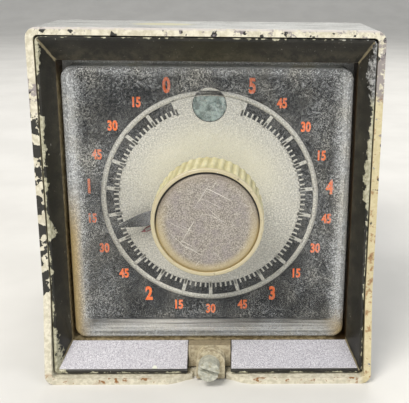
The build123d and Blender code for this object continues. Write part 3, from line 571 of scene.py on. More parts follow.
right_chip = black.times(black.maths("SUBTRACT", 1.0, on_left), right_chip)
side_chip = black.maths("ADD", black.times(on_left, left_chip), right_chip)
chipped = black.maths("LESS_THAN", from_side, black.maths("ADD", side_chip, torn))
top_chip = black.maths("LESS_THAN", from_top, black.maths("ADD", -0.15, torn))
foot_chip = black.maths("LESS_THAN", from_foot, black.maths("ADD", 0.1, torn))
chip = black.times(black.either(chipped, top_chip, foot_chip), black.step(black.y, -29.5, -30.0))
kept_black = black.maths("LESS_THAN", black.grain(1.7, 5.0, 0.7), 0.42)
left_black = black.times(kept_black, black.step(black.z, -24.0, -34.0))
chip = black.times(chip, black.maths("SUBTRACT", 1.0, left_black))
undercoat = black.blend(black.step(black.grain(1.0, 4.0), 0.35, 0.65), "8f8c74", "bcb8a0")
worn_zone = black.times(black.step(black.x, 30.0, 41.0), black.step(black.z, 30.0, 34.0))
mottled = black.blend(black.step(black.grain(1.0, 5.0, 0.75), 0.4, 0.62), "2c2c2b", "a9a9a6")
undercoat = black.blend(worn_zone, undercoat, mottled)
tone = black.blend(chip, tone, undercoat)
# pinholes, dust and short pale scratches
pin = black.either(black.flecks(2.3, 0.3, 0.15), black.flecks(1.1, 0.2, 0.09))
lint = black.flecks(1.5, 0.12, 0.2, black.stretched(1.0, 1.0, 0.35))
scratch_x = black.maths("LESS_THAN", black.grain(1.0, 2.0, 0.5, black.stretched(2.6, 2.6, 0.45)), 0.265)
marks = black.times(black.either(pin, lint, scratch_x), black.step(soft_wear, 0.42, 0.55), 0.8)
tone = black.blend(marks, tone, "b5b2a6")
rough = black.level(black.either(chip, black.step(fine, 0.4, 0.8)), 0.33, 0.6)
relief = black.maths("ADD", black.times(fine, 0.35), black.times(black.maths("SUBTRACT", 1.0, chip), 1.6))
bezel_paint = black.show(tone, rough, 0.0, relief, 0.05, Specular_IOR_Level=0.4)

bezel = eased_copy("front_bezel", "black_bezel", 0.2, 2, 20)
fit(bezel, "plug_in_unit", bezel_paint, "black_paint", "front_bezel")

# ---- Silver plates on the lower slope ----
# Two strips of sparkling silver foil on thin aluminium, cut back round the captive screw and stuck
# to the bezel's lower slope. Their lower edges are painted brighter, a painted highlight.

foil = Finish("sparkling silver foil")
glitter = foil.grain(0.28, 2.0, 0.8)
cloud = foil.grain(6.0, 3.0)
tone = foil.blend(foil.step(glitter, 0.34, 0.68), "85838a", "d0ced2")
tone = foil.blend(foil.times(foil.step(cloud, 0.45, 0.75), 0.3), tone, "a39fa5")
# painted highlight: a brighter band along the strips' lower edges
lit_low_edge = foil.step(foil.z, -46.8, -47.0)
tone = foil.blend(lit_low_edge, tone, "e4e2e4")
blob_x = foil.maths("ADD", foil.x, 16.0)
blob_z = foil.maths("ADD", foil.z, 47.0)
blob = foil.maths("ADD", foil.times(blob_x, blob_x), foil.times(blob_z, blob_z))
tone = foil.blend(foil.step(blob, 0.7, 0.45), tone, "c9cbbd")
foil_finish = foil.show(tone, foil.level(glitter, 0.6, 0.4), 0.25, glitter, 0.015)
for side in ("left", "right"):
    plate = eased_copy(f"nameplate_{side}", f"silver_plate_{side}", 0.1)
    fit(plate, "plug_in_unit", foil_finish, "silver_foil", f"nameplate_{side}")

# ---- Clear window ----
# A shallow moulded box of clear acrylic that covers the dial, with a hole for the knob's hub. Years of
# dust have fogged it, worst towards its edges, and left tan dirt on its walls and lower corners.

acrylic = Finish("dusty clear acrylic")
wide = acrylic.maths("ABSOLUTE", acrylic.x)
to_side = acrylic.maths("SUBTRACT", 40.2, wide)
to_end = acrylic.maths("SUBTRACT", 40.4, acrylic.maths("ABSOLUTE", acrylic.maths("ADD", acrylic.z, 0.3)))
cleaner_top = acrylic.times(acrylic.step(acrylic.z, 0.0, 20.0), 2.6)
to_edge = acrylic.maths("MINIMUM", to_side, acrylic.maths("ADD", to_end, cleaner_top))
speckle = acrylic.grain(0.36, 2.0, 0.85)
smear = acrylic.grain(7.0, 4.0, 0.6, acrylic.stretched(1.0, 1.0, 0.7))
fog = acrylic.times(acrylic.step(acrylic.maths("ADD", to_edge, acrylic.times(smear, 4.0)), 8.0, 2.0), 0.55)
film = acrylic.times(acrylic.step(smear, 0.45, 0.7), 0.04)
left_fog = acrylic.times(acrylic.step(acrylic.x, -24.0, -36.0), acrylic.step(acrylic.z, 24.0, 12.0), 0.06)
clear_patch = acrylic.times(
    acrylic.step(acrylic.maths("ABSOLUTE", acrylic.maths("ADD", acrylic.x, 24.0)), 13.0, 7.0),
    acrylic.step(acrylic.maths("ABSOLUTE", acrylic.maths("SUBTRACT", acrylic.z, 30.0)), 6.0, 3.0),
)
haze = acrylic.maths("ADD", acrylic.maths("ADD", fog, film), acrylic.maths("ADD", left_fog, 0.01))
haze = acrylic.times(haze, acrylic.maths("SUBTRACT", 1.0, acrylic.times(clear_patch, 0.5)))
outer = acrylic.step(acrylic.maths("MINIMUM", to_side, acrylic.maths("ADD", to_end, 4.0)), 20.0, 8.0)
drifts = acrylic.level(acrylic.step(acrylic.grain(9.0, 3.0), 0.4, 0.62), 0.1, 0.26)
drifts = acrylic.times(drifts, acrylic.level(outer, 0.5, 1.2))
drifts = acrylic.times(drifts, acrylic.maths("SUBTRACT", 1.0, acrylic.times(clear_patch, 0.45)))
dots = acrylic.times(acrylic.step(speckle, 0.51, 0.62), acrylic.maths("ADD", haze, drifts), 1.3)
dots = acrylic.times(dots, acrylic.level(acrylic.step(acrylic.z, -33.5, -35.5), 1.0, 0.35))
grit = acrylic.times(acrylic.either(acrylic.flecks(1.9, 0.25, 0.14), acrylic.flecks(0.9, 0.15, 0.09)), 0.5)
wall = acrylic.step(acrylic.y, -27.4, -26.6)
dirty = acrylic.times(
    acrylic.step(acrylic.z, -30.0, -40.0),
    acrylic.step(to_side, 6.0, 0.5),
)
left_dirt = acrylic.times(acrylic.step(acrylic.x, -36.0, -39.2), acrylic.step(acrylic.z, 10.0, -10.0))
cover = acrylic.either(acrylic.maths("ADD", acrylic.times(haze, 0.55), dots), grit)
# painted reflection: the floor wall is made nearly opaque and streaked pale and dark, standing in for the
# silver strip seen through it; the side walls get a thin dust film
foot_wall = acrylic.times(acrylic.step(acrylic.z, -38.2, -38.7), wall)
side_wall = acrylic.times(acrylic.step(to_side, 2.4, 1.4), wall)
wall_dust_and_reflection = acrylic.either(acrylic.times(foot_wall, 0.8), acrylic.times(side_wall, 0.35))
cover = acrylic.maths("ADD", cover, wall_dust_and_reflection)
cover = acrylic.maths("ADD", cover, acrylic.times(acrylic.either(dirty, left_dirt), 0.35))
cover = acrylic.maths("MINIMUM", cover, 0.93)
sheen_lines = acrylic.grain(0.8, 2.0, 0.5, acrylic.stretched(0.03, 1.6, 0.4))
tone = acrylic.blend(acrylic.step(smear, 0.4, 0.7), "c4c6c6", "cfcdc4")
foot_wall_reflection = acrylic.blend(acrylic.step(sheen_lines, 0.42, 0.6), "6b6963", "dedcd6")
tone = acrylic.blend(foot_wall, tone, foot_wall_reflection)
tone = acrylic.blend(acrylic.times(acrylic.either(dirty, left_dirt), 0.95), tone, "ae9767")
window_finish = acrylic.show(
    tone,
    acrylic.level(haze, 0.12, 0.4),
    0.0,
    acrylic.maths("ADD", smear, acrylic.times(speckle, 0.2)),
    0.02,
    Alpha=cover,
    IOR=1.49,
)
window = eased_copy("lens_cover", "clear_window", 0.25)
fit(window, "plug_in_unit", window_finish, "clear_window", "lens_cover")

# ---- Dial ----
# A square steel plate in matt black with the scale silk-screened in silver: a solid centre, a thin
# outer ring, a bar at every quarter minute and a short tick at every three seconds.

dial_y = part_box("dial_plate")[0].y / mm
scale_start, scale_sweep = 20.0, 320.0
disc_radius, ring_inner, ring_outer = 27.1, 30.9, 32.4
print_film = 0.03

matt = Finish("matt black dial")
mottle = matt.grain(5.0, 4.0)
tone = matt.blend(matt.step(mottle, 0.35, 0.7), "0c0d0f", "191c1f")
tone = matt.blend(matt.times(matt.step(matt.grain(0.28, 2.0, 0.7), 0.56, 0.74), 0.5), tone, "6b7076")
dial_black = matt.show(tone, 0.6, 0.0, matt.grain(0.4, 2.0), 0.01)
dial = eased_copy("dial_plate", "black_dial", 0.08)
fit(dial, "plug_in_unit", dial_black, "dial_print", "dial_plate")

silver = Finish("silver scale ink")
flake = silver.grain(0.45, 2.0, 0.75)
radius = silver.add("ShaderNodeVectorMath", silver.stretched(1, 0, 1), operation="LENGTH").outputs["Value"]
tone = silver.blend(silver.step(flake, 0.36, 0.66), "a6a59d", "e4e1d6")
aged = silver.times(silver.step(radius, 27.0, 15.0), silver.step(silver.z, -8.0, 14.0), 0.8)
tone = silver.blend(aged, tone, "e6e2cb")
shadowed = silver.times(silver.step(silver.z, -6.0, -22.0), silver.step(radius, 30.5, 24.0), 0.35)
tone = silver.blend(shadowed, tone, "a3a198")
tone = silver.blend(silver.times(silver.flecks(1.4, 0.25, 0.14), 0.6), tone, "4f4f4b")
silver_ink = silver.show(tone, silver.level(flake, 0.5, 0.36), 0.15, flake, 0.012)


def flat_shape(name, outlines, y):
    """A thin printed film in the XZ plane. The first outline is filled and the others are holes."""
    curve = bpy.data.curves.new(name, "CURVE")
    curve.dimensions, curve.fill_mode = "2D", "BOTH"
    curve.extrude = print_film * mm / 2
    for outline in outlines:
        spline = curve.splines.new("POLY")
        spline.points.add(len(outline) - 1)
        for point, (x, z) in zip(spline.points, outline):
            point.co = (x * mm, z * mm, 0, 1)
        spline.use_cyclic_u = True
    drawn = new_piece(name, curve)
    depsgraph = bpy.context.evaluated_depsgraph_get()
    mesh = bpy.data.meshes.new_from_object(drawn.evaluated_get(depsgraph))
    bpy.data.objects.remove(drawn)
    mesh.transform(Matrix.Translation((0, (y - print_film / 2) * mm, 0)) @ Matrix.Rotation(pi / 2, 4, "X"))
    return new_piece(name, mesh)


def arc_points(radius, start, end, count, centre=(0.0, 0.0)):
    """Points on an arc whose angles run counter-clockwise from the top, in degrees."""
    angles = [radians(start + (end - start) * i / count) for i in range(count + 1)]
    return [(centre[0] - radius * sin(a), centre[1] + radius * cos(a)) for a in angles]


lamp_z = 28.2
centre_outline = arc_points(disc_radius, scale_start - 0.9, 360 - scale_start + 0.9, 160)
top_arc = arc_points(ring_inner + 0.2, -scale_start + 0.9, scale_start - 0.9, 24)
centre_outline += top_arc
lamp_hole = arc_points(5.0, 0, 354, 59, (0.0, lamp_z))
hub_hole = arc_points(6.5, 0, 354, 59)
centre = flat_shape("silver_centre", [centre_outline, lamp_hole, hub_hole], dial_y)
fit(centre, "plug_in_unit", silver_ink, "dial_print")

scale = Growth("silver_scale_marks")
scale.material = silver_ink
film = scale.size("Ink thickness", "Float", print_film * mm)
start = scale.size("Angle of the zero mark", "Float", -radians(scale_start))
sweep = scale.size("Angle of the whole scale", "Float", -radians(scale_sweep))
ring_radius = scale.size("Middle radius of the ring", "Float", (ring_inner + ring_outer) / 2 * mm)
ring_width = scale.size("Width of the ring", "Float", (ring_outer - ring_inner) * mm)


def marks(count, width, inner, outer):
    """Bars of one kind, evenly spaced over the scale."""
    number = scale.size(f"Number of {count} marks", "Int", count)
    bar = scale.add(
        "GeometryNodeMeshCube",
        {
            "Size": scale.add(
                "ShaderNodeCombineXYZ",
                {
                    "X": scale.size(f"Width of {count} marks", "Float", width * mm),
                    "Y": film,
                    "Z": scale.size(f"Length of {count} marks", "Float", (outer - inner) * mm),
                },
            ).outputs[0]
        },
    )
    middle = scale.size(f"Middle radius of {count} marks", "Float", (inner + outer) / 2 * mm)
    reach = scale.add("ShaderNodeCombineXYZ", {"Z": middle}).outputs[0]
    raised = scale.add("GeometryNodeTransform", {"Geometry": bar.outputs[0], "Translation": reach})
    line = scale.add("GeometryNodeMeshLine", {"Count": number, "Offset": (0, 0, 0)})
    index = scale.add("GeometryNodeInputIndex").outputs[0]
    gap = scale.maths("DIVIDE", sweep, scale.maths("SUBTRACT", number, 1.0))
    angle = scale.maths("ADD", scale.maths("MULTIPLY", index, gap), start)
    turned = scale.add("ShaderNodeCombineXYZ", {"Y": angle}).outputs[0]
    spread = scale.add(
        "GeometryNodeInstanceOnPoints",
        {"Points": line.outputs[0], "Instance": raised.outputs[0], "Rotation": turned},
    )
    return spread.outputs[0]


circle = scale.add("GeometryNodeCurvePrimitiveCircle", {"Resolution": 160, "Radius": ring_radius})
band = scale.add("GeometryNodeCurvePrimitiveQuadrilateral", {"Width": ring_width, "Height": film})
swept = scale.add("GeometryNodeCurveToMesh", {"Curve": circle.outputs[0], "Profile Curve": band.outputs[0]})
stood = scale.add("GeometryNodeTransform", {"Geometry": swept.outputs[0], "Rotation": (pi / 2, 0, 0)})
quarter_bars = marks(21, 1.05, disc_radius - 0.4, ring_inner + 0.3)
short_ticks = marks(101, 0.5, disc_radius - 0.3, disc_radius + 1.45)
scale_marks = scale.piece(stood.outputs[0], quarter_bars, short_ticks)
scale_marks.data.transform(Matrix.Translation((0, (dial_y - print_film / 2) * mm, 0)))
fit(scale_marks, "plug_in_unit", silver_ink, "dial_print")

# ---- Numerals ----
# Orange numerals screened on the black, in a bold condensed face. Whole minutes are larger, and each
# quarter between them is marked in seconds, counter-clockwise from zero.

orange = Finish("orange numeral ink")
patchy = orange.grain(0.5, 3.0, 0.6)
tone = orange.blend(orange.step(patchy, 0.35, 0.7), "ff6418", "ff8f40")
# painted shade: the numerals near the top are darkened by the shadow of the bezel's top slope
tone = orange.blend(orange.times(orange.step(orange.z, 24.0, 33.0), 0.4), tone, "a8442a")
numeral_ink = orange.show(tone, 0.55, 0.0, patchy, 0.01)


def numeral(text, height, angle, radius, squeeze):
    """One printed number, upright, centred at a place on the scale."""
    letters = bpy.data.curves.new("numeral", "FONT")
    letters.body = text
    letters.align_x, letters.align_y = "CENTER", "CENTER"
    letters.size = height * 1.37 * mm
    letters.extrude = print_film * mm / 2
    letters.offset = 0.055 * height * mm
    letters.space_character = 1.02
    drawn = new_piece("numeral", letters)
    depsgraph = bpy.context.evaluated_depsgraph_get()
    mesh = bpy.data.meshes.new_from_object(drawn.evaluated_get(depsgraph))
    bpy.data.objects.remove(drawn)
    middle = [(min(v.co[i] for v in mesh.vertices) + max(v.co[i] for v in mesh.vertices)) / 2 for i in (0, 1)]
    mesh.transform(Matrix.Translation((-middle[0], -middle[1], 0)))
    mesh.transform(Matrix.Diagonal((squeeze, 1, 1, 1)))
    mesh.transform(Matrix.Rotation(pi / 2, 4, "X"))
    x, z = -radius * sin(radians(angle)), radius * cos(radians(angle))
    mesh.transform(Matrix.Translation((x * mm, (dial_y - print_film / 2) * mm, z * mm)))
    return mesh


printed = bmesh.new()
for quarter in range(21):
    angle = scale_start + scale_sweep * quarter / 20
    if quarter % 4 == 0:
        mesh = numeral(str(quarter // 4), 4.3, angle, 36.0, 0.72)
    else:
        mesh = numeral(str(15 * (quarter % 4)), 2.85, angle, 35.7, 0.74)
    printed.from_mesh(mesh)
numerals_mesh = bpy.data.meshes.new("numerals")
printed.to_mesh(numerals_mesh)
printed.free()
numerals = new_piece("orange_numerals", numerals_mesh)
fit(numerals, "plug_in_unit", numeral_ink, "dial_print")

# ---- Pilot lamp window ----
# A translucent disc in the dial's upper hole, gone grey green and blotched with old lacquer. The lamp,
# its holder and its dropping resistor sit behind it.

lamp = Finish("blotched lamp window")
blot = lamp.grain(1.6, 5.0, 0.65)
tone = lamp.blend(lamp.step(blot, 0.38, 0.62), "5d6c68", "a6b4ae")
tone = lamp.blend(lamp.times(lamp.step(lamp.grain(2.6, 5.0, 0.7), 0.55, 0.68), 0.8), tone, "2f3836")
tone = lamp.blend(lamp.times(lamp.flecks(0.9, 0.3, 0.13), 0.7), tone, "c3cbc4")
lamp_window = lamp.show(tone, 0.3, 0.0, blot, 0.04, Subsurface_Weight=0.1)
lens_low, lens_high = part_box("pilot_window")
pilot_profile = [
    (0, lens_low.y / mm, 0),
    (4.2, lens_low.y / mm, 0),
    (4.9, lens_low.y / mm + 0.25, 0),
    (4.9, lens_high.y / mm, 0),
    (0, lens_high.y / mm, 0),
]
pilot = turned_body("pilot_lamp_window", pilot_profile, 48)
pilot.data.transform(Matrix.Translation((0, 0, lamp_z * mm)))
fit(pilot, "plug_in_unit", lamp_window, "lamp_window", "pilot_window")

# ---- Setting knob ----
# Moulded in cream plastic that has yellowed, with forty-two flutes to grip, a plain ring at the front
# and a shallow seat for a metal disc. Its hub goes through the window to the setting shaft.

knob_low, knob_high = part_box("setting_knob")
knob_front = knob_low.y / mm
knob_back = knob_front + 13.5
seat_radius, seat_floor = 14.25, knob_front + 1.0

cream = Finish("yellowed cream plastic")
from_axis = cream.add("ShaderNodeVectorMath", cream.stretched(1, 0, 1), operation="LENGTH").outputs["Value"]
clouds = cream.grain(5.0, 3.0)
tone = cream.blend(cream.step(clouds, 0.35, 0.7), "d0c796", "e6deb6")
# painted shade: the flute valleys behind the front ring are evenly darkened
in_flute = cream.step(from_axis, 15.42, 15.1)
skirt = cream.step(cream.y, knob_front + 0.9, knob_front + 1.4)
tone = cream.blend(cream.times(in_flute, skirt, 0.5), tone, "a39a66")
tone = cream.blend(cream.times(skirt, cream.step(cream.grain(2.2, 5.0, 0.7), 0.56, 0.7), 0.5), tone, "9a9468")
front_ring = cream.step(cream.y, knob_front + 1.1, knob_front + 0.7)
tone = cream.blend(cream.times(front_ring, 0.85), tone, "b3a88c")
nicks = cream.step(cream.grain(1.1, 5.0, 0.7), 0.6, 0.66)
tone = cream.blend(cream.times(front_ring, nicks, 0.8), tone, "6f6557")
pale_nicks = cream.times(front_ring, cream.flecks(1.3, 0.22, 0.3))
tone = cream.blend(cream.times(pale_nicks, 0.8), tone, "ddd8c8")
in_seat = cream.step(from_axis, seat_radius + 0.08, seat_radius - 0.05)
in_seat = cream.times(in_seat, cream.step(cream.y, knob_front + 2.0, knob_front + 1.2))
# the seat is painted near black at the top as painted shade for the dark crescent above the disc, with tan
# dirt lower down
seat_dirt_and_shade = cream.blend(cream.step(cream.z, 2.0, -3.0), "191410", "b09c70")
tone = cream.blend(in_seat, tone, seat_dirt_and_shade)
speck = cream.flecks(1.1, 0.25, 0.12)
tone = cream.blend(cream.times(speck, 0.6), tone, "77714f")
knob_plastic = cream.show(
    tone,
    cream.level(clouds, 0.38, 0.52),
    0.0,
    cream.maths("ADD", cream.grain(0.35, 2.0), cream.times(nicks, front_ring, 1.2)),
    0.03,
    Subsurface_Weight=0.15,
    Subsurface_Radius=(0.0016, 0.0012, 0.0007),
)
knob_profile = [
    (0, seat_floor, 0),
    (seat_radius, seat_floor, 0),
    (seat_radius, knob_front + 0.15, 0),
    (seat_radius + 0.15, knob_front, 0),
    (15.05, knob_front, 0),
    (15.3, knob_front + 0.2, 0),
    (15.35, knob_front + 0.9, 0),
    (15.45, knob_front + 1.15, 0.1),
    (15.5, knob_front + 1.6, 0.55),
    (15.5, knob_front + 7.0, 0.55),
    (15.5, knob_back - 1.0, 0.55),
    (15.4, knob_back - 0.3, 0.3),
    (15.1, knob_back, 0.0),
    (6.4, knob_back, 0),
    (5.95, knob_back + 0.4, 0),
    (5.95, knob_high.y / mm, 0),
    (0, knob_high.y / mm, 0),
]
knob = turned_body("fluted_knob", knob_profile, 42 * 8, waves=42, twist=radians(4))
fit(knob, "knob", knob_plastic, "knob_plastic", "setting_knob")

# ---- Disc in the knob's face ----
# A spun aluminium disc with a wide bevel, cemented in the seat. It has slipped down a little, which
# leaves a dark crescent above it, and it is dulled and scored by fine scratches.

spun = Finish("scored aluminium disc")
off_axis = spun.add("ShaderNodeVectorMath", spun.stretched(1, 0, 1), (0, 0, 0.4), operation="ADD").outputs[0]
out = spun.add("ShaderNodeVectorMath", off_axis, operation="LENGTH").outputs["Value"]
fine = spun.grain(0.3, 2.0, 0.85)
mottle = spun.grain(2.6, 5.0, 0.65)
tone = spun.blend(spun.step(fine, 0.34, 0.68), "69625a", "bbb4a9")
tone = spun.blend(spun.times(spun.step(mottle, 0.42, 0.66), 0.4), tone, "8d8488")
tan_side = spun.times(spun.step(out, 10.5, 13.0), spun.level(spun.step(spun.z, 8.0, -6.0), 0.1, 0.7))
tone = spun.blend(tan_side, tone, "bfae84")
# painted shade darkens the upper bevel under the rim; the lower outer edge is painted paler tan
shaded_upper_bevel = spun.times(spun.step(out, 12.9, 13.2), spun.step(spun.z, -2.0, 8.0))
tone = spun.blend(spun.times(shaded_upper_bevel, 0.5), tone, "6d6152")
tone = spun.blend(spun.times(spun.step(out, 13.3, 13.6), spun.step(spun.z, 4.0, -4.0), 0.7), tone, "b7a577")


def scored(finish, angle, size, threshold, seed):
    """Long hair-line scratches that run at an angle across the face."""
    turn = finish.tree.nodes.new("ShaderNodeMapping")
    finish.feed(turn.inputs["Vector"], finish.place)
    turn.inputs["Location"].default_value = (seed * 7.3, 0, seed * 3.1)
    turn.inputs["Rotation"].default_value = (0, radians(angle), 0)
    drawn_out = finish.add("ShaderNodeVectorMath", turn.outputs[0], (0.06, 1.0, 3.6), operation="MULTIPLY")
    lines = finish.grain(size, 1.0, 0.4, drawn_out.outputs[0])
    return finish.maths("GREATER_THAN", lines, threshold)


hair = spun.either(
    scored(spun, -28, 0.8, 0.735, 1),
    scored(spun, -44, 0.9, 0.74, 2),
    scored(spun, 58, 0.8, 0.75, 3),
)
hair = spun.times(hair, spun.step(out, 12.6, 11.8))
tone = spun.blend(spun.times(hair, 0.85), tone, "e2dcd2")
pits = spun.either(spun.flecks(0.8, 0.18, 0.12), spun.flecks(1.7, 0.14, 0.24))
tone = spun.blend(spun.times(pits, spun.step(out, 12.5, 12.0), 0.75), tone, "57504b")
glints = spun.flecks(1.2, 0.1, 0.13)
tone = spun.blend(spun.times(glints, 0.8), tone, "e8e2d8")
relief = spun.maths("SUBTRACT", fine, spun.times(spun.either(hair, pits), 2.0))
disc_finish = spun.show(tone, spun.level(fine, 0.42, 0.6), 0.25, relief, 0.012)
face_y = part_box("knob_insert")[0].y / mm
disc_edge, disc_drop = 13.95, 0.27
disc_profile = [
    (0, face_y, 0),
    (12.6, face_y, 0),
    (12.9, face_y + 0.05, 0),
    (13.75, face_y + 0.42, 0),
    (disc_edge, face_y + 0.6, 0),
    (disc_edge, seat_floor - 0.01, 0),
    (0, seat_floor - 0.01, 0),
]
disc = turned_body("knob_face_disc", disc_profile, 96)
disc.data.transform(Matrix.Translation((0, 0, -disc_drop * mm)))
fit(disc, "knob", disc_finish, "insert_metal", "knob_insert")

# ---- Pointers ----
# Stamped from thin sheet. The setting pointer is a matt black wedge on the knob's hub, whitened by
# dust towards the knob; the running pointer behind it is a grey needle with a dull red edge.

running_angle = 116.0

wedge = Finish("matt black pointer")
out = wedge.add("ShaderNodeVectorMath", wedge.stretched(1, 0, 1), operation="LENGTH").outputs["Value"]
powder = wedge.grain(0.35, 3.0, 0.7)
tone = wedge.blend(wedge.step(powder, 0.4, 0.7), "17191c", "34383c")
dust = wedge.times(wedge.step(out, 24.5, 17.0), wedge.step(powder, 0.25, 0.6))
tone = wedge.blend(dust, tone, "85868a")
pointer_black = wedge.show(tone, 0.65, 0.0, powder, 0.02)
setting = eased_copy("setting_pointer", "setting_wedge", 0.1)
fit(setting, "knob", pointer_black, "pointer_black", "setting_pointer")

needle = Finish("red edged needle")
turn = needle.tree.nodes.new("ShaderNodeMapping")
needle.feed(turn.inputs["Vector"], needle.place)
turn.inputs["Rotation"].default_value = (0, radians(running_angle), 0)
along_x, _, along_z = needle.add("ShaderNodeSeparateXYZ", turn.outputs[0]).outputs
off_line = needle.maths("ABSOLUTE", along_x)
red_side = needle.maths("GREATER_THAN", off_line, 0.38)
red_edge = needle.either(red_side, needle.maths("GREATER_THAN", along_z, 21.6))
powder = needle.grain(0.4, 3.0, 0.6)
tone = needle.blend(needle.step(powder, 0.35, 0.7), "8e8d88", "a5a39c")
red = needle.blend(needle.step(powder, 0.35, 0.7), "6b2530", "8d3540")
tone = needle.blend(red_edge, tone, red)
pointer_red = needle.show(tone, 0.5, 0.0, powder, 0.01)
running = eased_copy("progress_pointer", "running_needle", 0.08)
fit(running, "progress", pointer_red, "pointer_red", "progress_pointer")

# ---- Captive screw and its collar ----
# A cheese-head screw in dull zinc, held in the unit by a ring, draws it into the housing. Its head
# stands out of an arched boss whose cream paint is worn to tan.

dull = Finish("dull zinc screw")
blot = dull.grain(1.0, 5.0, 0.65)
tone = dull.blend(dull.step(blot, 0.35, 0.68), "9b9c8f", "c8c7b8")
tone = dull.blend(dull.times(dull.step(dull.grain(1.8, 5.0, 0.7), 0.55, 0.68), 0.6), tone, "8b8261")
tone = dull.blend(dull.times(dull.flecks(0.7, 0.25, 0.1), 0.6), tone, "3f423c")
screw_zinc = dull.show(tone, dull.level(blot, 0.4, 0.65), 0.12, blot, 0.05)
captive = eased_copy("captive_screw", "captive_screw_body", 0.22, 3)
fit(captive, "captive", screw_zinc, "screw_zinc", "captive_screw")

tan_coat = Finish("worn collar paint")
blot = tan_coat.grain(1.3, 5.0, 0.65)
tone = tan_coat.blend(tan_coat.step(blot, 0.35, 0.68), "978a70", "cfc5a8")
# the rear of the boss, the arch's top side, is painted darker brown: partly stain, partly painted shade
pad_stain_and_shade = tan_coat.times(tan_coat.step(tan_coat.y, -33.2, -32.6), tan_coat.step(blot, 0.3, 0.6), 0.8)
tone = tan_coat.blend(pad_stain_and_shade, tone, "6e5f45")
stain = tan_coat.times(tan_coat.step(tan_coat.grain(0.9, 5.0, 0.7), 0.56, 0.68), 0.7)
tone = tan_coat.blend(stain, tone, "5d4a30")
collar_paint = tan_coat.show(tone, 0.6, 0.1, blot, 0.06)
collar = eased_copy("screw_collar", "arched_collar", 0.35, 3)
fit(collar, "plug_in_unit", collar_paint, "collar_cast", "screw_collar")

# ---- Chassis and mechanism ----
# Zinc plated plates and posts, a grey lacquered motor, brass gears, a taped coil, two black moulded
# switches and a paper-board plug plate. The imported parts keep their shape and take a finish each.

plate = Finish("plated sheet")
rolled = plate.grain(1.2, 4.0, 0.6, plate.stretched(0.2, 1.0, 2.0))
tone = plate.blend(plate.step(rolled, 0.35, 0.7), "8b8e8c", "b2b3ad")
tone = plate.blend(plate.times(plate.step(plate.grain(7.0, 5.0, 0.7), 0.55, 0.7), 0.5), tone, "8f8765")
plated_sheet = plate.show(tone, plate.level(rolled, 0.3, 0.5), 0.85, rolled, 0.008)

board = Finish("laminated board")
fibre = board.grain(1.0, 4.0, 0.6, board.stretched(0.4, 1.0, 3.0))
tone = board.blend(board.step(fibre, 0.35, 0.7), "5c3b1f", "7d552f")
laminate = board.show(tone, board.level(fibre, 0.4, 0.6), 0.0, fibre, 0.02)

lacquer = Finish("grey lacquer")
orange_peel = lacquer.grain(0.9, 3.0)
tone = lacquer.blend(lacquer.step(lacquer.grain(8.0, 4.0), 0.4, 0.7), "7f8482", "969a96")
tone = lacquer.blend(lacquer.times(lacquer.flecks(2.4, 0.2, 0.2), 0.6), tone, "4e504d")
motor_lacquer = lacquer.show(tone, 0.35, 0.2, orange_peel, 0.03)

tape = Finish("varnished tape")
winding = tape.grain(1.0, 2.0, 0.5, tape.stretched(0.3, 0.3, 4.0))
tone = tape.blend(tape.step(winding, 0.35, 0.65), "6d4d18", "96702e")
coil_tape = tape.show(tone, 0.35, 0.0, winding, 0.08)

blued = Finish("blued spring")
tone = blued.blend(blued.step(blued.grain(2.0, 4.0), 0.35, 0.7), "3a4252", "5a6372")
spring_blue = blued.show(tone, 0.3, 0.95, blued.grain(0.3, 2.0), 0.005)

moulding = Finish("black moulding")
flow = moulding.grain(3.0, 4.0)
tone = moulding.blend(moulding.step(flow, 0.35, 0.7), "17181a", "26282a")
switch_black = moulding.show(tone, moulding.level(flow, 0.3, 0.45), 0.0, moulding.grain(0.4, 2.0), 0.015)

amber = Finish("lamp glass")
tone = amber.blend(amber.step(amber.grain(1.5, 3.0), 0.35, 0.7), "d9c6a4", "efe2c6")
lamp_glass = amber.show(tone, 0.1, 0.0, amber.grain(1.0, 2.0), 0.01, Transmission_Weight=0.6, IOR=1.45)

resin = Finish("resistor lacquer")
stripe = resin.maths("GREATER_THAN", resin.maths("SINE", resin.times(resin.x, 2.9)), 0.55)
tone = resin.blend(stripe, "b79a6b", "5b2d1c")
resistor_lacquer = resin.show(tone, 0.4, 0.0, resin.grain(0.5, 2.0), 0.02)

finish_for = {
    "plated_steel": zinc_plate,
    "plate_steel": plated_sheet,
    "brass_parts": aged_brass,
    "gear_brass": aged_brass,
    "board_phenolic": laminate,
    "terminal_phenolic": moulded,
    "motor_steel": motor_lacquer,
    "coil_tape": coil_tape,
    "spring_steel": spring_blue,
    "switch_case": switch_black,
    "lamp_glass": lamp_glass,
    "resistor_body": resistor_lacquer,
}
slot_of = {part["node"]: part["material_slot"] for part in frame["record"]["subparts"]}
for name, packed in nodes.items():
    if packed.hide_render:
        continue
    packed.data.materials.clear()
    packed.data.materials.append(finish_for[slot_of[name]])

# ---- Bench and light ----
# The timer stands on a plain pale sweep of paper that curves up far behind it, under a large soft
# light from the upper left, a weaker one from the right and one behind.

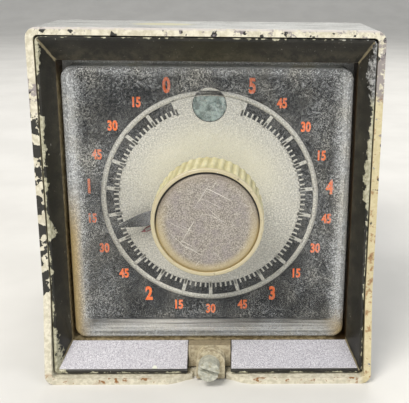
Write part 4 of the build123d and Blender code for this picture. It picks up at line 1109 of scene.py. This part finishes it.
floor_z = cad_box[0].z
reach, bend_start, bend = 2.5, 1.2, 0.8
line = [(-reach, floor_z)]
for step in range(17):
    angle = pi / 2 * step / 16
    line.append((bend_start + bend * sin(angle), floor_z + bend * (1 - cos(angle))))
line.append((bend_start + bend, floor_z + 2.5))
bench_mesh = bpy.data.meshes.new("bench")
corners = [(x, y, z) for y, z in line for x in (-reach, reach)]
faces = [(2 * i, 2 * i + 1, 2 * i + 3, 2 * i + 2) for i in range(len(line) - 1)]
bench_mesh.from_pydata(corners, [], faces)
bench_mesh.shade_smooth()
bench = new_piece("bench", bench_mesh)
linen = Finish("pale bench")
tone = linen.blend(linen.step(linen.grain(40.0, 3.0), 0.3, 0.7), "cfcdc8", "d6d4cf")
bench_mesh.materials.append(linen.show(tone, 0.8, 0.0, linen.grain(1.5, 2.0), 0.01))


def soft_light(name, energy, size, place, aim, colour):
    light = bpy.data.lights.new(name, "AREA")
    light.shape, light.size, light.energy, light.color = "DISK", size, energy, colour
    holder = bpy.data.objects.new(name, light)
    bpy.context.scene.collection.objects.link(holder)
    holder.location = place
    holder.rotation_euler = (Vector(aim) - Vector(place)).to_track_quat("-Z", "Y").to_euler()


soft_light("key", 9.0, 0.5, (-0.35, -0.55, 0.75), (0, 0, 0), (1.0, 0.97, 0.92))
soft_light("fill", 3.0, 0.7, (0.7, -0.55, 0.35), (0, 0, 0), (0.93, 0.96, 1.0))
soft_light("back", 5.0, 0.6, (0.1, 0.7, 0.7), (0, 0, 0), (1.0, 0.98, 0.95))

world = bpy.data.worlds.new("studio")
world.use_nodes = True
world.node_tree.nodes["Background"].inputs["Color"].default_value = (0.9, 0.92, 0.95, 1)
world.node_tree.nodes["Background"].inputs["Strength"].default_value = 0.55
bpy.context.scene.world = world

# ---- Camera ----
# It stands a short arm's length in front and above, a little to the right, and looks down at the dial.

camera = bpy.data.cameras.new("camera")
camera.sensor_width = 36.0
camera.lens = 69.4
camera.shift_x, camera.shift_y = -0.144, 0.015
camera.dof.use_dof = False
viewer = bpy.data.objects.new("camera", camera)
bpy.context.scene.collection.objects.link(viewer)
viewer.location = (0.0074, -0.2461, 0.0660)
look = Matrix.Rotation(radians(-2.17), 4, "Z") @ Matrix.Rotation(radians(90 - 16.83), 4, "X")
viewer.rotation_euler = (look @ Matrix.Rotation(radians(0.8), 4, "Z")).to_euler()
bpy.context.scene.camera = viewer
bpy.context.scene.view_settings.view_transform = "Standard"
